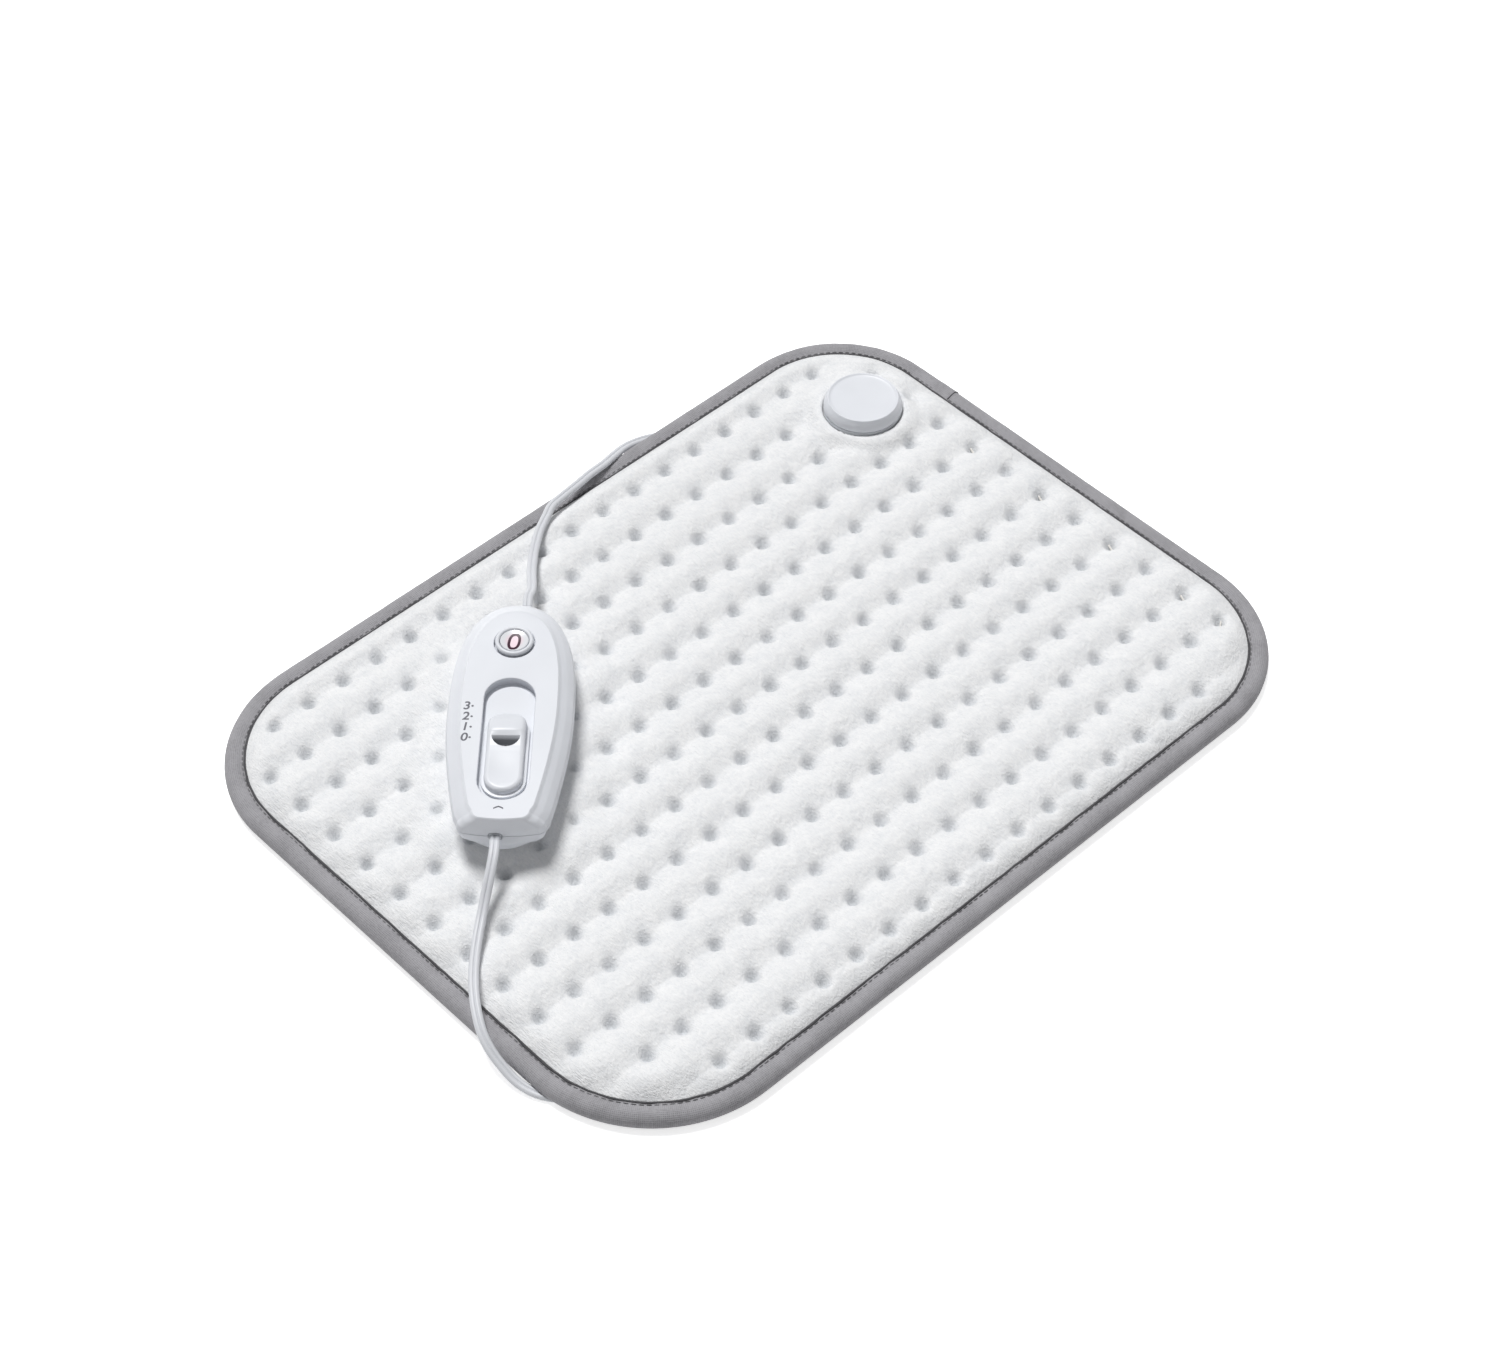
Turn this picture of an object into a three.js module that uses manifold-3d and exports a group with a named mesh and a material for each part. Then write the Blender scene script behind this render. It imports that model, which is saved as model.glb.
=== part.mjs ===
// Electric heating pad with a slide controller, in millimetres, +Z up.
// The origin is the centre of the pad's footprint, on the surface it lies on.
// +X runs along the pad's long edge.
import * as THREE from 'three';
import * as BufferGeometryUtils from 'three/addons/utils/BufferGeometryUtils.js';
import Module from 'manifold-3d';

const wasm = await Module();
wasm.setup();

// General
const clearance = 0.3;
const overrun = 2;
const roundSteps = 24;
const smallRoundSteps = 12;
const smallRadius = 6;
const cornerSteps = 10;

// Pad outline and its folded edge binding
const padLength = 440;
const padWidth = 330;
const padCornerRadius = 58;
const bindingWidth = 10;
const bindingHeight = 9;
const tapeThickness = 1.2;
const bindingRound = 2.6;

// Quilted front cover
const dimpleColumns = 20;
const dimpleRows = 13;
const dimpleMarginX = 25.25;
const dimpleMarginY = 24.6;
const columnPitch = (padLength - 2 * dimpleMarginX) / (dimpleColumns - 1);
const rowPitch = (padWidth - 2 * dimpleMarginY) / (dimpleRows - 1);
const crestHeight = 15;
const dimpleDepth = 3.6;
const saddleDepth = 1.8;
const quiltEdgeHeight = 8.7;
const quiltRoll = 12;

// Layers of the pad
const coverSeamHeight = 4.6;
const backLayerHeight = 7.6;
const layerMargin = 16;
const fleeceThickness = 0.5;
const fleeceMargin = 3;
const coverBelowCavity = 1;

// Heating wire and its thermal cut-outs
const wireDiameter = 1.2;
const wireMargin = 38;
const wireReach = padLength / 2 - wireMargin;
const wireShortReach = 38;
const wireConnectorRoom = 26;
const wireReturnRoom = 17;
const wireByConnector = wireReach - wireConnectorRoom;
const wireReturn = wireReach + wireReturnRoom;
const wireEndSpread = 1.6;
const wireTurnSteps = 4;
const cutoutLength = 11;
const cutoutWidth = 4;
const cutoutThickness = 1.2;
const cutoutPlace = 60;

// Controller placement: slot centre, and the heading of its long axis
const controllerX = -119.9;
const controllerY = 35.6;
const controllerHeading = 45.7;

// Controller housing
const shellHalfWidth = 29.2;
const shellSideDraw = 8.9;
const shellHeight = 24.2;
const partingShare = 0.558;
const partingHeight = partingShare * shellHeight;
const widestY = 18;
const noseLength = 71.5;
const tailLength = 65.5;
const shellWall = 2.2;
const endCornerRadius = 4.5;
const sidePowerShare = 1.65;
const nosePowerShares = [2 / 2.2, 2 / 3];
const noseSteps = 9;
const sideSteps = 5;

// Slot, its tray and the slider
const slotHalfWidth = 11.7;
const slotLength = 72.5;
const trayDepth = 3.2;
const trayWall = 1.8;
const sliderTravel = 19;
const sliderHalfWidth = 8.7;
const sliderLength = 44.8;
const sliderRise = 4;
const footOverhang = 1.6;
const footThickness = 1.2;
const footFront = 2.4;
const stemWidth = 3.6;
const stemLength = 5;
const stemSlotLength = stemLength + sliderTravel + 2 * clearance;
const slotEndGap = 2.4;

// Carriage, contacts and detent
const carriageWidth = 14;
const carriageLength = 22;
const carriageThickness = 2.4;
const wiperWidth = 5;
const wiperThickness = 0.4;
const wiperLength = 12;
const trackLength = 30;
const trackWidth = 8;
const trackThickness = 0.4;
const levelCount = 4;
const railWidth = 3;
const railHeight = 2;
const railOffset = 9.6;
const notchDepth = 0.8;
const springWidth = 2;
const springThickness = 0.4;

// Display
const displayY = 58.5;
const displayRadius = 8.9;
const displayLensRadius = 6.6;
const displayProud = 2;
const displayFlange = 1.6;
const flangeThickness = 1.4;
const lensDish = 0.5;
const lensThickness = 1.8;
const lensLedge = 0.9;
const lensDishShare = 0.8;
const lightModuleSize = 9;

// Circuit board and what stands on it
const boardThickness = 1.6;
const boardDrop = 5.1;
const boardHeight = partingHeight - boardDrop;
const boardMargin = 4.4;
const boardNoseRoom = 3;
const fuseRadius = 2.6;
const fuseLength = 15;
const fuseGlassShare = 0.9;
const capacitorLength = 14;
const capacitorWidth = 6;
const capacitorHeight = 6.6;
const triacWidth = 10;
const triacThickness = 3.2;
const triacHeight = 6.4;
const resistorRadius = 1.7;
const resistorLength = 9;
const resistorWaistShare = 0.85;
const resistorShoulderShare = 1.3;

// Shell bosses and screws
const bossRearX = 10;
const bossFrontX = 14;
const bossRearY = -25;
const bossFrontY = 43;
const bossRadius = 3.6;
const screwShank = 1.3;
const screwHead = 2.5;
const screwHeadHeight = 1.8;
const screwLength = 13;
const screwSink = 2.2;
const screwCrownShare = 0.8;
const screwEdgeShare = 0.3;

// Cord outlets of the controller
const mainsOutletX = -2.5;
const padOutletX = 3.5;
const glandProud = 1.6;
const glandHalfWidth = 4.3;
const glandHalfHeight = 2.9;
const glandFlange = 1;
const glandFlangeThickness = 1.5;
const glandRoundShare = 0.9;
const glandSteps = 3;
const noseGlandDepth = 7.5;
const tailGlandDepth = 3.9;
const innerLeadLength = 12;
const clampWidth = 13;
const clampThickness = 2;
const clampLength = 5;
const clampPlaceShare = 0.7;

// Flat twin cord
const cordWidth = 5.4;
const cordThickness = 2.9;
const cordFloor = 0.15;
const channelRoom = 0.6;
const cordSectionShares = [[0.5, 0], [0.34, 0.46], [0, 0.36], [-0.34, 0.46],
  [-0.5, 0], [-0.34, -0.46], [0, -0.36], [0.34, -0.46]];
const coilSectionShares = [[0.5, 0], [0.25, 0.5], [-0.25, 0.5],
  [-0.5, 0], [-0.25, -0.5], [0.25, -0.5]];

// Stored mains cord: a two-layer coil under the pad
const coilX = -110;
const coilY = -60;
const coilInnerRadius = 18.8;
const coilPitch = 6;
const coilRise = 3.4;
const turnsPerLayer = 4.25;
const stepsPerTurn = 24;
const climbTurnShare = 0.5;

// Mains plug, stored under the controller
const plugX = -2.2;
const plugTailY = -8;
const plugGripLength = 18;
const plugGripHalfWidth = 4.6;
const plugBodyLength = 36;
const plugHalfWidth = 17.65;
const plugNeckHalfWidth = 9;
const plugThickness = 13.7;
const plugBevel = 2;
const plugShoulderShare = 0.4;
const plugGripEndShare = 0.75;
const pinLength = 19;
const pinRadius = 2;
const pinSpacing = 18.6;
const pinSleeveLength = 10;
const pinSeat = 8;
const barePinShare = 0.94;
const pocketClearance = 0.6;
const humpMargin = 3.4;
const humpTailRoom = 19;
const humpSkin = 1.2;
const humpRound = 6;
const humpFade = 30;
const humpDimpleShare = 0.4;

// Connector in the pad's corner
const connectorInsetX = 51;
const connectorInsetY = 67;
const connectorX = padLength / 2 - connectorInsetX;
const connectorY = padWidth / 2 - connectorInsetY;
const connectorRadius = 19.9;
const collarHeight = 2.3;
const capHeight = 6.1;
const capChamfer = 2;
const capRimWidth = 1;
const capDish = 0.9;
const capShoulderShare = 0.85;
const baseRadius = 21;
const baseFloor = 0.4;
const spigotRadius = 3.5;
const spigotBore = 2;
const spigotX = 8;
const clampBossY = 11;
const couplingWidth = 14.8;
const couplingThickness = 4;
const couplingLength = 30;
const couplingInside = 19;
const couplingNeckShare = 0.6;
const couplingTaper = 8;
const contactRadius = 0.8;
const contactLength = 9;
const contactSpacing = 6;
const contactInBase = 3;

// Routes of the cords that lie free, chosen by hand
const mainsRoute = [[-162, -4, 31.6], [-170.6, -10.6, 27.5], [-176.9, -14.8, 22.6], [-183.9, -20, 19],
  [-194.2, -28.7, 17.2], [-203.4, -37.8, 16.8], [-210.6, -46.3, 16.4], [-216.7, -55.2, 15],
  [-221.4, -64.3, 12.6], [-223.2, -71.3, 9.9], [-223.6, -79.5, 6.4], [-223.1, -88, 3.4],
  [-220.8, -96.2, 2], [-217.1, -102.6, 1.6], [-211.6, -108.4, 1.6], [-204.5, -112.6, 1.6],
  [-195.5, -114.6, 1.6], [-184, -113.8, 1.6], [-170, -111, 1.6], [-155, -107.8, 1.6],
  [-140, -105.4, 1.6], [-128, -104.5, 1.6], [-120, -104.3, 1.6]];
const mainsTailRoute = [[-119, -15.6, 5], [-125.3, -14, 5], [-133, -8.7, 5], [-138.2, -0.7, 5],
  [-140, 8.3, 5], [-138.2, 17.3, 5.4], [-133.2, 25, 6.4]];
const padRoute = [[-49.6, 102.6, 31.9], [-42.7, 108.4, 28.2], [-30.9, 122.3, 22.6], [-19.5, 134, 18.7],
  [-6.9, 144.4, 17.1], [1.4, 149.2, 16.8], [8.6, 153.3, 16.5], [18.4, 155.5, 15.6],
  [29, 157.7, 14.2], [40.1, 160.2, 12.7], [50.5, 161.9, 11.2], [60, 164.6, 9.3],
  [69, 167.3, 6.6], [77.5, 168.3, 4], [85.5, 167.2, 2.3], [92.5, 163.8, 1.6],
  [98.5, 158.5, 1.6], [103, 151, 1.6], [106, 141, 1.6], [108.5, 131, 1.6],
  [111, 121.5, 1.6], [114.3, 112.5, 1.7], [117, 107.4, 2], [122.4, 102, 2.7], [129.3, 98.8, 3.4]];

const material = {
  plush: new THREE.MeshStandardMaterial({ color: 0xf1f2f4, roughness: 0.95 }),
  lining: new THREE.MeshStandardMaterial({ color: 0xe3e4e6, roughness: 0.9 }),
  tape: new THREE.MeshStandardMaterial({ color: 0x97969a, roughness: 0.85 }),
  fleece: new THREE.MeshStandardMaterial({ color: 0xd9d6cf, roughness: 0.95 }),
  wire: new THREE.MeshStandardMaterial({ color: 0xd8cfc0, roughness: 0.6 }),
  housing: new THREE.MeshStandardMaterial({ color: 0xe4e8ec, roughness: 0.35 }),
  moulding: new THREE.MeshStandardMaterial({ color: 0xdfe3e8, roughness: 0.4 }),
  lens: new THREE.MeshStandardMaterial({ color: 0xf3e6ea, roughness: 0.2 }),
  board: new THREE.MeshStandardMaterial({ color: 0x2f6b46, roughness: 0.5 }),
  black: new THREE.MeshStandardMaterial({ color: 0x2b2c30, roughness: 0.5 }),
  brass: new THREE.MeshStandardMaterial({ color: 0xc8a456, roughness: 0.3, metalness: 1 }),
  steel: new THREE.MeshStandardMaterial({ color: 0xa9adb2, roughness: 0.35, metalness: 1 }),
  cord: new THREE.MeshStandardMaterial({ color: 0xdcdfe3, roughness: 0.45 }),
};

// Levels that follow from the sizes above
const fleeceBottom = backLayerHeight + clearance;
const wireHeight = fleeceBottom + fleeceThickness + clearance + wireDiameter / 2;
const cavityHeight = wireHeight + wireDiameter / 2 + clearance;
const plugBottom = cordFloor;
const plugMiddle = plugBottom + plugThickness / 2;
const humpTop = plugBottom + plugThickness + clearance + humpSkin;
const humpRise = humpTop + clearance + coverBelowCavity + humpDimpleShare * dimpleDepth - crestHeight;
const controllerBottom = crestHeight + humpRise + clearance;
const trayHeight = shellHeight - trayDepth;
const roofHeight = shellHeight - shellWall;
const slotBack = -slotLength / 2;
const sliderBack = slotBack + slotEndGap + footOverhang;
const sliderFront = sliderBack + sliderLength;
const stemY = (sliderBack + sliderFront) / 2;
const carriageTop = trayHeight - trayWall - clearance;
const carriageBottom = carriageTop - carriageThickness;
const boardTop = boardHeight + boardThickness;
const coilBottomLevel = cordFloor + cordThickness / 2;
const coilOuterRadius = coilInnerRadius + coilPitch * turnsPerLayer;

// Turns a closed mesh into a solid that can be joined and cut
function solid(geometry) {
  const bare = geometry.clone();
  bare.deleteAttribute('normal');
  bare.deleteAttribute('uv');
  const merged = BufferGeometryUtils.mergeVertices(bare);
  const source = merged.index.array;
  const corners = [];
  for (let i = 0; i < source.length; i += 3) {
    const [a, b, c] = [source[i], source[i + 1], source[i + 2]];
    if (a !== b && b !== c && c !== a) corners.push(a, b, c);
  }
  return new wasm.Manifold(new wasm.Mesh({
    numProp: 3,
    vertProperties: merged.attributes.position.array,
    triVerts: new Uint32Array(corners),
  }));
}

// Adds one named piece to a group
function addPiece(group, name, body, finish) {
  const { vertProperties, triVerts } = body.getMesh();
  const geometry = new THREE.BufferGeometry();
  geometry.setAttribute('position', new THREE.BufferAttribute(vertProperties, 3));
  geometry.setIndex(new THREE.BufferAttribute(triVerts, 1));
  geometry.computeVertexNormals();
  const mesh = new THREE.Mesh(geometry, finish);
  mesh.name = name;
  group.add(mesh);
}

function cut(body, ...tools) {
  return tools.reduce((rest, tool) => rest.subtract(tool), body);
}

function join(body, ...others) {
  return others.reduce((sum, other) => sum.add(other), body);
}

function prism(shape, bottom, top) {
  const options = { depth: top - bottom, bevelEnabled: false, curveSegments: cornerSteps / 2 };
  return solid(new THREE.ExtrudeGeometry(shape, options).translate(0, 0, bottom));
}

function box(width, length, height, x, y, bottom) {
  return solid(new THREE.BoxGeometry(width, length, height).translate(x, y, bottom + height / 2));
}

function stepsAround(radius) {
  return radius < smallRadius ? smallRoundSteps : roundSteps;
}

function cylinder(radius, bottom, top, x = 0, y = 0) {
  const geometry = new THREE.CylinderGeometry(radius, radius, top - bottom, stepsAround(radius));
  geometry.rotateX(Math.PI / 2);
  return solid(geometry.translate(x, y, (bottom + top) / 2));
}

// A turned piece: the profile holds radius and height, and starts and ends on the axis
function turned(profile, x = 0, y = 0) {
  const points = profile.map(([radius, height]) => new THREE.Vector2(radius, height));
  const steps = stepsAround(Math.max(...profile.map(([radius]) => radius)));
  const geometry = new THREE.LatheGeometry(points, steps).rotateX(Math.PI / 2);
  return solid(geometry.translate(x, y, 0));
}

function roundedRectangle(left, right, back, front, radius) {
  const shape = new THREE.Shape();
  shape.moveTo(right, back + radius);
  shape.lineTo(right, front - radius);
  shape.absarc(right - radius, front - radius, radius, 0, Math.PI / 2);
  shape.lineTo(left + radius, front);
  shape.absarc(left + radius, front - radius, radius, Math.PI / 2, Math.PI);
  shape.lineTo(left, back + radius);
  shape.absarc(left + radius, back + radius, radius, Math.PI, 1.5 * Math.PI);
  shape.lineTo(right - radius, back);
  shape.absarc(right - radius, back + radius, radius, 1.5 * Math.PI, 2 * Math.PI);
  return shape;
}

function stadium(halfWidth, back, front) {
  const shape = new THREE.Shape();
  shape.moveTo(halfWidth, back + halfWidth);
  shape.lineTo(halfWidth, front - halfWidth);
  shape.absarc(0, front - halfWidth, halfWidth, 0, Math.PI);
  shape.lineTo(-halfWidth, back + halfWidth);
  shape.absarc(0, back + halfWidth, halfWidth, Math.PI, 2 * Math.PI);
  return shape;
}

function padOutline(inset) {
  const x = padLength / 2 - inset;
  const y = padWidth / 2 - inset;
  return roundedRectangle(-x, x, -y, y, padCornerRadius - inset);
}

function centreOf(ring) {
  const sum = ring.reduce((total, point) => total.add(point), new THREE.Vector3());
  return sum.divideScalar(ring.length);
}

// Joins rings of equal count into one body: a closed loop, or a run with a cap at each end
function loft(rings, isLoop = false) {
  const count = rings[0].length;
  const index = [];
  const spans = isLoop ? rings.length : rings.length - 1;
  for (let r = 0; r < spans; r++) {
    const next = (r + 1) % rings.length;
    for (let i = 0; i < count; i++) {
      const j = (i + 1) % count;
      index.push(r * count + i, r * count + j, next * count + j);
      index.push(r * count + i, next * count + j, next * count + i);
    }
  }
  const points = rings.flat();
  if (!isLoop) {
    const last = (rings.length - 1) * count;
    const centre = points.length;
    points.push(centreOf(rings[0]), centreOf(rings.at(-1)));
    for (let i = 0; i < count; i++) {
      const j = (i + 1) % count;
      index.push(centre, j, i);
      index.push(centre + 1, last + i, last + j);
    }
  }
  const geometry = new THREE.BufferGeometry();
  const positions = points.flatMap((point) => [point.x, point.y, point.z]);
  geometry.setAttribute('position', new THREE.Float32BufferAttribute(positions, 3));
  geometry.setIndex(index);
  return solid(geometry);
}

// Sections set square to a route, with their first axis kept level
function sectionRings(points, section) {
  return points.map((point, i) => {
    const before = points[Math.max(i - 1, 0)];
    const after = points[Math.min(i + 1, points.length - 1)];
    const along = after.clone().sub(before).normalize();
    const side = new THREE.Vector3(along.y, -along.x, 0).normalize();
    const up = new THREE.Vector3().crossVectors(along, side);
    return section.map((corner) => point.clone()
      .addScaledVector(side, corner.x).addScaledVector(up, corner.y));
  });
}

function scaledSection(shares, width, thickness) {
  return shares.map(([x, y]) => new THREE.Vector2(x * width, y * thickness));
}

// A smooth route whose flat side stays level
class LevelCurve extends THREE.CatmullRomCurve3 {
  computeFrenetFrames(segments) {
    const frames = { tangents: [], normals: [], binormals: [] };
    for (let i = 0; i <= segments; i++) {
      const tangent = this.getTangentAt(i / segments);
      const normal = new THREE.Vector3(tangent.y, -tangent.x, 0).normalize();
      frames.tangents.push(tangent);
      frames.normals.push(normal);
      frames.binormals.push(new THREE.Vector3().crossVectors(tangent, normal));
    }
    return frames;
  }
}

function routeCurve(points) {
  return new LevelCurve(points, false, 'centripetal');
}

function flatCord(curve) {
  const section = new THREE.Shape(scaledSection(cordSectionShares, cordWidth, cordThickness));
  const steps = Math.round(curve.getLength() / (2 * cordWidth));
  const options = { steps, extrudePath: curve, bevelEnabled: false };
  return solid(new THREE.ExtrudeGeometry(section, options));
}

// The way a cord needs through whatever lies over it, open to the floor where the cord lies low
function cordChannel(curve) {
  const steps = Math.round(curve.getLength() / (2 * cordWidth));
  const half = cordWidth / 2 + channelRoom;
  const rise = cordThickness / 2 + channelRoom;
  const rings = curve.getSpacedPoints(steps).map((point, i) => {
    const tangent = curve.getTangentAt(i / steps);
    const side = new THREE.Vector3(tangent.y, -tangent.x, 0).normalize();
    const low = point.z < 2 * cordThickness ? -overrun : point.z - rise;
    const corners = [[-half, low], [-half, point.z + rise], [half, point.z + rise], [half, low]];
    return corners.map(([across, height]) => new THREE.Vector3(
      point.x + side.x * across, point.y + side.y * across, height));
  });
  return loft(rings);
}

// Where the controller's own coordinates land in the pad's frame
const controllerFrame = new THREE.Group();
controllerFrame.position.set(controllerX, controllerY, controllerBottom);
controllerFrame.rotation.z = THREE.MathUtils.degToRad(controllerHeading - 90);
controllerFrame.updateMatrixWorld(true);

function fromController(x, y, z) {
  return controllerFrame.localToWorld(new THREE.Vector3(x, y, z));
}

function turnedWithController(body) {
  const { vertProperties, triVerts } = body.getMesh();
  const geometry = new THREE.BufferGeometry();
  geometry.setAttribute('position', new THREE.BufferAttribute(vertProperties, 3));
  geometry.setIndex(new THREE.BufferAttribute(triVerts, 1));
  geometry.rotateZ(controllerFrame.rotation.z);
  return solid(geometry.translate(controllerX, controllerY, 0));
}

// Stored plug: its body, and the hump of the pad over it, seen from above
const plugGripFront = plugTailY + plugGripLength;
const plugFront = plugGripFront + plugBodyLength;
const humpHalfWidth = plugHalfWidth + humpMargin;
const humpBack = plugTailY - humpTailRoom;
const humpFront = plugFront + pinLength + humpMargin;

function humpOutline(margin) {
  const half = humpHalfWidth + margin;
  return roundedRectangle(plugX - half, plugX + half, humpBack - margin, humpFront + margin, humpRound);
}

// How much the pad is lifted at a place: fully over the plug, fading out round it
function humpShare(x, y) {
  const local = controllerFrame.worldToLocal(new THREE.Vector3(x, y, 0));
  const across = Math.max(Math.abs(local.x - plugX) - humpHalfWidth - clearance, 0);
  const along = Math.max(humpBack - clearance - local.y, local.y - humpFront - clearance, 0);
  return 1 - THREE.MathUtils.smoothstep(Math.hypot(across, along), columnPitch / 4, humpFade);
}

function insideQuilt(x, y) {
  const inset = bindingWidth + clearance;
  const radius = padCornerRadius - inset;
  const dx = Math.abs(x) - (padLength / 2 - inset - radius);
  const dy = Math.abs(y) - (padWidth / 2 - inset - radius);
  const outside = Math.hypot(Math.max(dx, 0), Math.max(dy, 0));
  return radius - outside - Math.min(Math.max(dx, dy), 0);
}

// Puffy ridges between the rows of dimples, rolled down to the binding at the rim
function quiltHeight(x, y, atColumn, atRow) {
  const share = humpShare(x, y);
  const depthScale = 1 - (1 - humpDimpleShare) * share;
  let depth = 0;
  if (atRow) depth = atColumn ? dimpleDepth : saddleDepth;
  const roll = Math.sin(THREE.MathUtils.clamp(insideQuilt(x, y) / quiltRoll, 0, 1) * Math.PI / 2);
  const top = crestHeight + humpRise * share - depth * depthScale;
  return quiltEdgeHeight + (top - quiltEdgeHeight) * roll;
}

// Grid lines through the stitched places and between them, and two more at each edge
function quiltLines(count, pitch, half, linesPerPitch) {
  const edge = half - bindingWidth;
  const first = -pitch * (count - 1) / 2;
  const lines = [{ at: -edge - clearance, stitched: false }];
  lines.push({ at: (first - edge) / 2, stitched: false });
  for (let i = 0; i < linesPerPitch * (count - 1) + 1; i++) {
    lines.push({ at: first + i * pitch / linesPerPitch, stitched: i % linesPerPitch === 0 });
  }
  lines.push({ at: (edge - first) / 2, stitched: false });
  lines.push({ at: edge + clearance, stitched: false });
  return lines;
}

function quiltBlock() {
  const columns = quiltLines(dimpleColumns, columnPitch, padLength / 2, 1);
  const rows = quiltLines(dimpleRows, rowPitch, padWidth / 2, 2);
  const positions = [];
  const index = [];
  for (const row of rows) {
    for (const column of columns) {
      positions.push(column.at, row.at, quiltHeight(column.at, row.at, column.stitched, row.stitched));
    }
  }
  const topCount = positions.length / 3;
  const across = columns.length;
  const boundary = [];
  for (let i = 0; i < across - 1; i++) boundary.push(i);
  for (let j = 0; j < rows.length - 1; j++) boundary.push(j * across + across - 1);
  for (let i = across - 1; i > 0; i--) boundary.push((rows.length - 1) * across + i);
  for (let j = rows.length - 1; j > 0; j--) boundary.push(j * across);
  for (const corner of boundary) {
    positions.push(positions[3 * corner], positions[3 * corner + 1], coverSeamHeight + clearance / 2);
  }
  const centre = positions.length / 3;
  positions.push(0, 0, coverSeamHeight + clearance / 2);
  for (let j = 0; j < rows.length - 1; j++) {
    for (let i = 0; i < across - 1; i++) {
      const a = j * across + i;
      const [b, c, d] = [a + 1, a + across + 1, a + across];
      if ((i + j) % 2 === 0) index.push(a, b, c, a, c, d);
      else index.push(a, b, d, b, c, d);
    }
  }
  boundary.forEach((corner, i) => {
    const next = (i + 1) % boundary.length;
    index.push(corner, topCount + i, topCount + next, corner, topCount + next, boundary[next]);
    index.push(centre, topCount + next, topCount + i);
  });
  const geometry = new THREE.BufferGeometry();
  geometry.setAttribute('position', new THREE.Float32BufferAttribute(positions, 3));
  geometry.setIndex(index);
  return solid(geometry);
}

// Holes through the pad's layers for the connector's spigot and two clamp bosses
function connectorHoles(bottom, top) {
  const radius = spigotRadius + clearance;
  return [-clampBossY, 0, clampBossY].map((y) => cylinder(
    radius, bottom, top, connectorX + spigotX, connectorY + y));
}

function frontCover(channels) {
  const bottom = coverSeamHeight + clearance / 2;
  const edgeTop = bindingHeight - tapeThickness - clearance;
  const crown = quiltBlock().intersect(
    prism(padOutline(bindingWidth + clearance), bottom - overrun, crestHeight + humpRise + overrun));
  const flange = prism(padOutline(tapeThickness + clearance), bottom, edgeTop);
  const cavity = prism(padOutline(layerMargin), bottom - overrun, cavityHeight);
  const hump = turnedWithController(
    prism(humpOutline(clearance), bottom - overrun, humpTop + clearance));
  return cut(join(crown, flange), cavity, hump,
    ...connectorHoles(bottom, crestHeight + overrun), ...channels);
}

function backCover(channels) {
  const top = coverSeamHeight - clearance / 2;
  const hem = prism(padOutline(tapeThickness + clearance), tapeThickness + 2 * clearance, top);
  const floor = prism(padOutline(bindingWidth + clearance), 0, top);
  const layer = prism(padOutline(layerMargin + clearance), 0, backLayerHeight);
  const hump = turnedWithController(prism(humpOutline(0), 0, humpTop));
  return cut(join(hem, floor, layer, hump),
    coilRecess(), ...plugPocket(),
    cylinder(baseRadius + clearance, -overrun, backLayerHeight + overrun, connectorX, connectorY),
    couplingPocket(),
    ...channels);
}

function couplingTop() {
  return couplingMiddle() + couplingThickness / 2;
}

function couplingBack() {
  return couplingInside - baseRadius - clearance - couplingLength;
}

function couplingMiddle() {
  return backLayerHeight / 2;
}

function couplingPocket() {
  const half = couplingWidth / 2 + clearance;
  const back = connectorX + couplingBack() - cordThickness;
  return prism(roundedRectangle(back, connectorX - baseRadius / 2, connectorY - half, connectorY + half,
    clearance), -overrun, couplingTop() + clearance);
}

// Ring-shaped recess that the stored coil presses into the pad's underside
function coilRecess() {
  const top = coilBottomLevel + coilRise + cordThickness / 2 + clearance;
  const outer = coilOuterRadius + cordWidth / 2 + clearance;
  const inner = coilInnerRadius - cordWidth / 2 - clearance;
  return cut(cylinder(outer + clearance, -overrun, top, coilX, coilY),
    cylinder(inner, -2 * overrun, top + overrun, coilX, coilY));
}

function plugPocket() {
  const top = plugBottom + plugThickness + clearance;
  const half = plugHalfWidth + pocketClearance;
  const grip = plugGripHalfWidth + pocketClearance;
  const pins = pinSpacing / 2 + pinRadius + pocketClearance;
  const body = roundedRectangle(plugX - half, plugX + half,
    plugGripFront - pocketClearance, plugFront + pocketClearance, plugBevel);
  const grips = roundedRectangle(plugX - grip, plugX + grip,
    plugTailY - pocketClearance, plugGripFront + overrun, plugBevel);
  const front = roundedRectangle(plugX - pins, plugX + pins,
    plugFront - overrun, plugFront + pinLength + pocketClearance, plugBevel);
  return [
    turnedWithController(prism(body, -overrun, top)),
    turnedWithController(prism(grips, -overrun, plugMiddle + plugGripHalfWidth + pocketClearance)),
    turnedWithController(prism(front, -overrun, plugMiddle + pinRadius + pocketClearance)),
  ];
}

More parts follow.
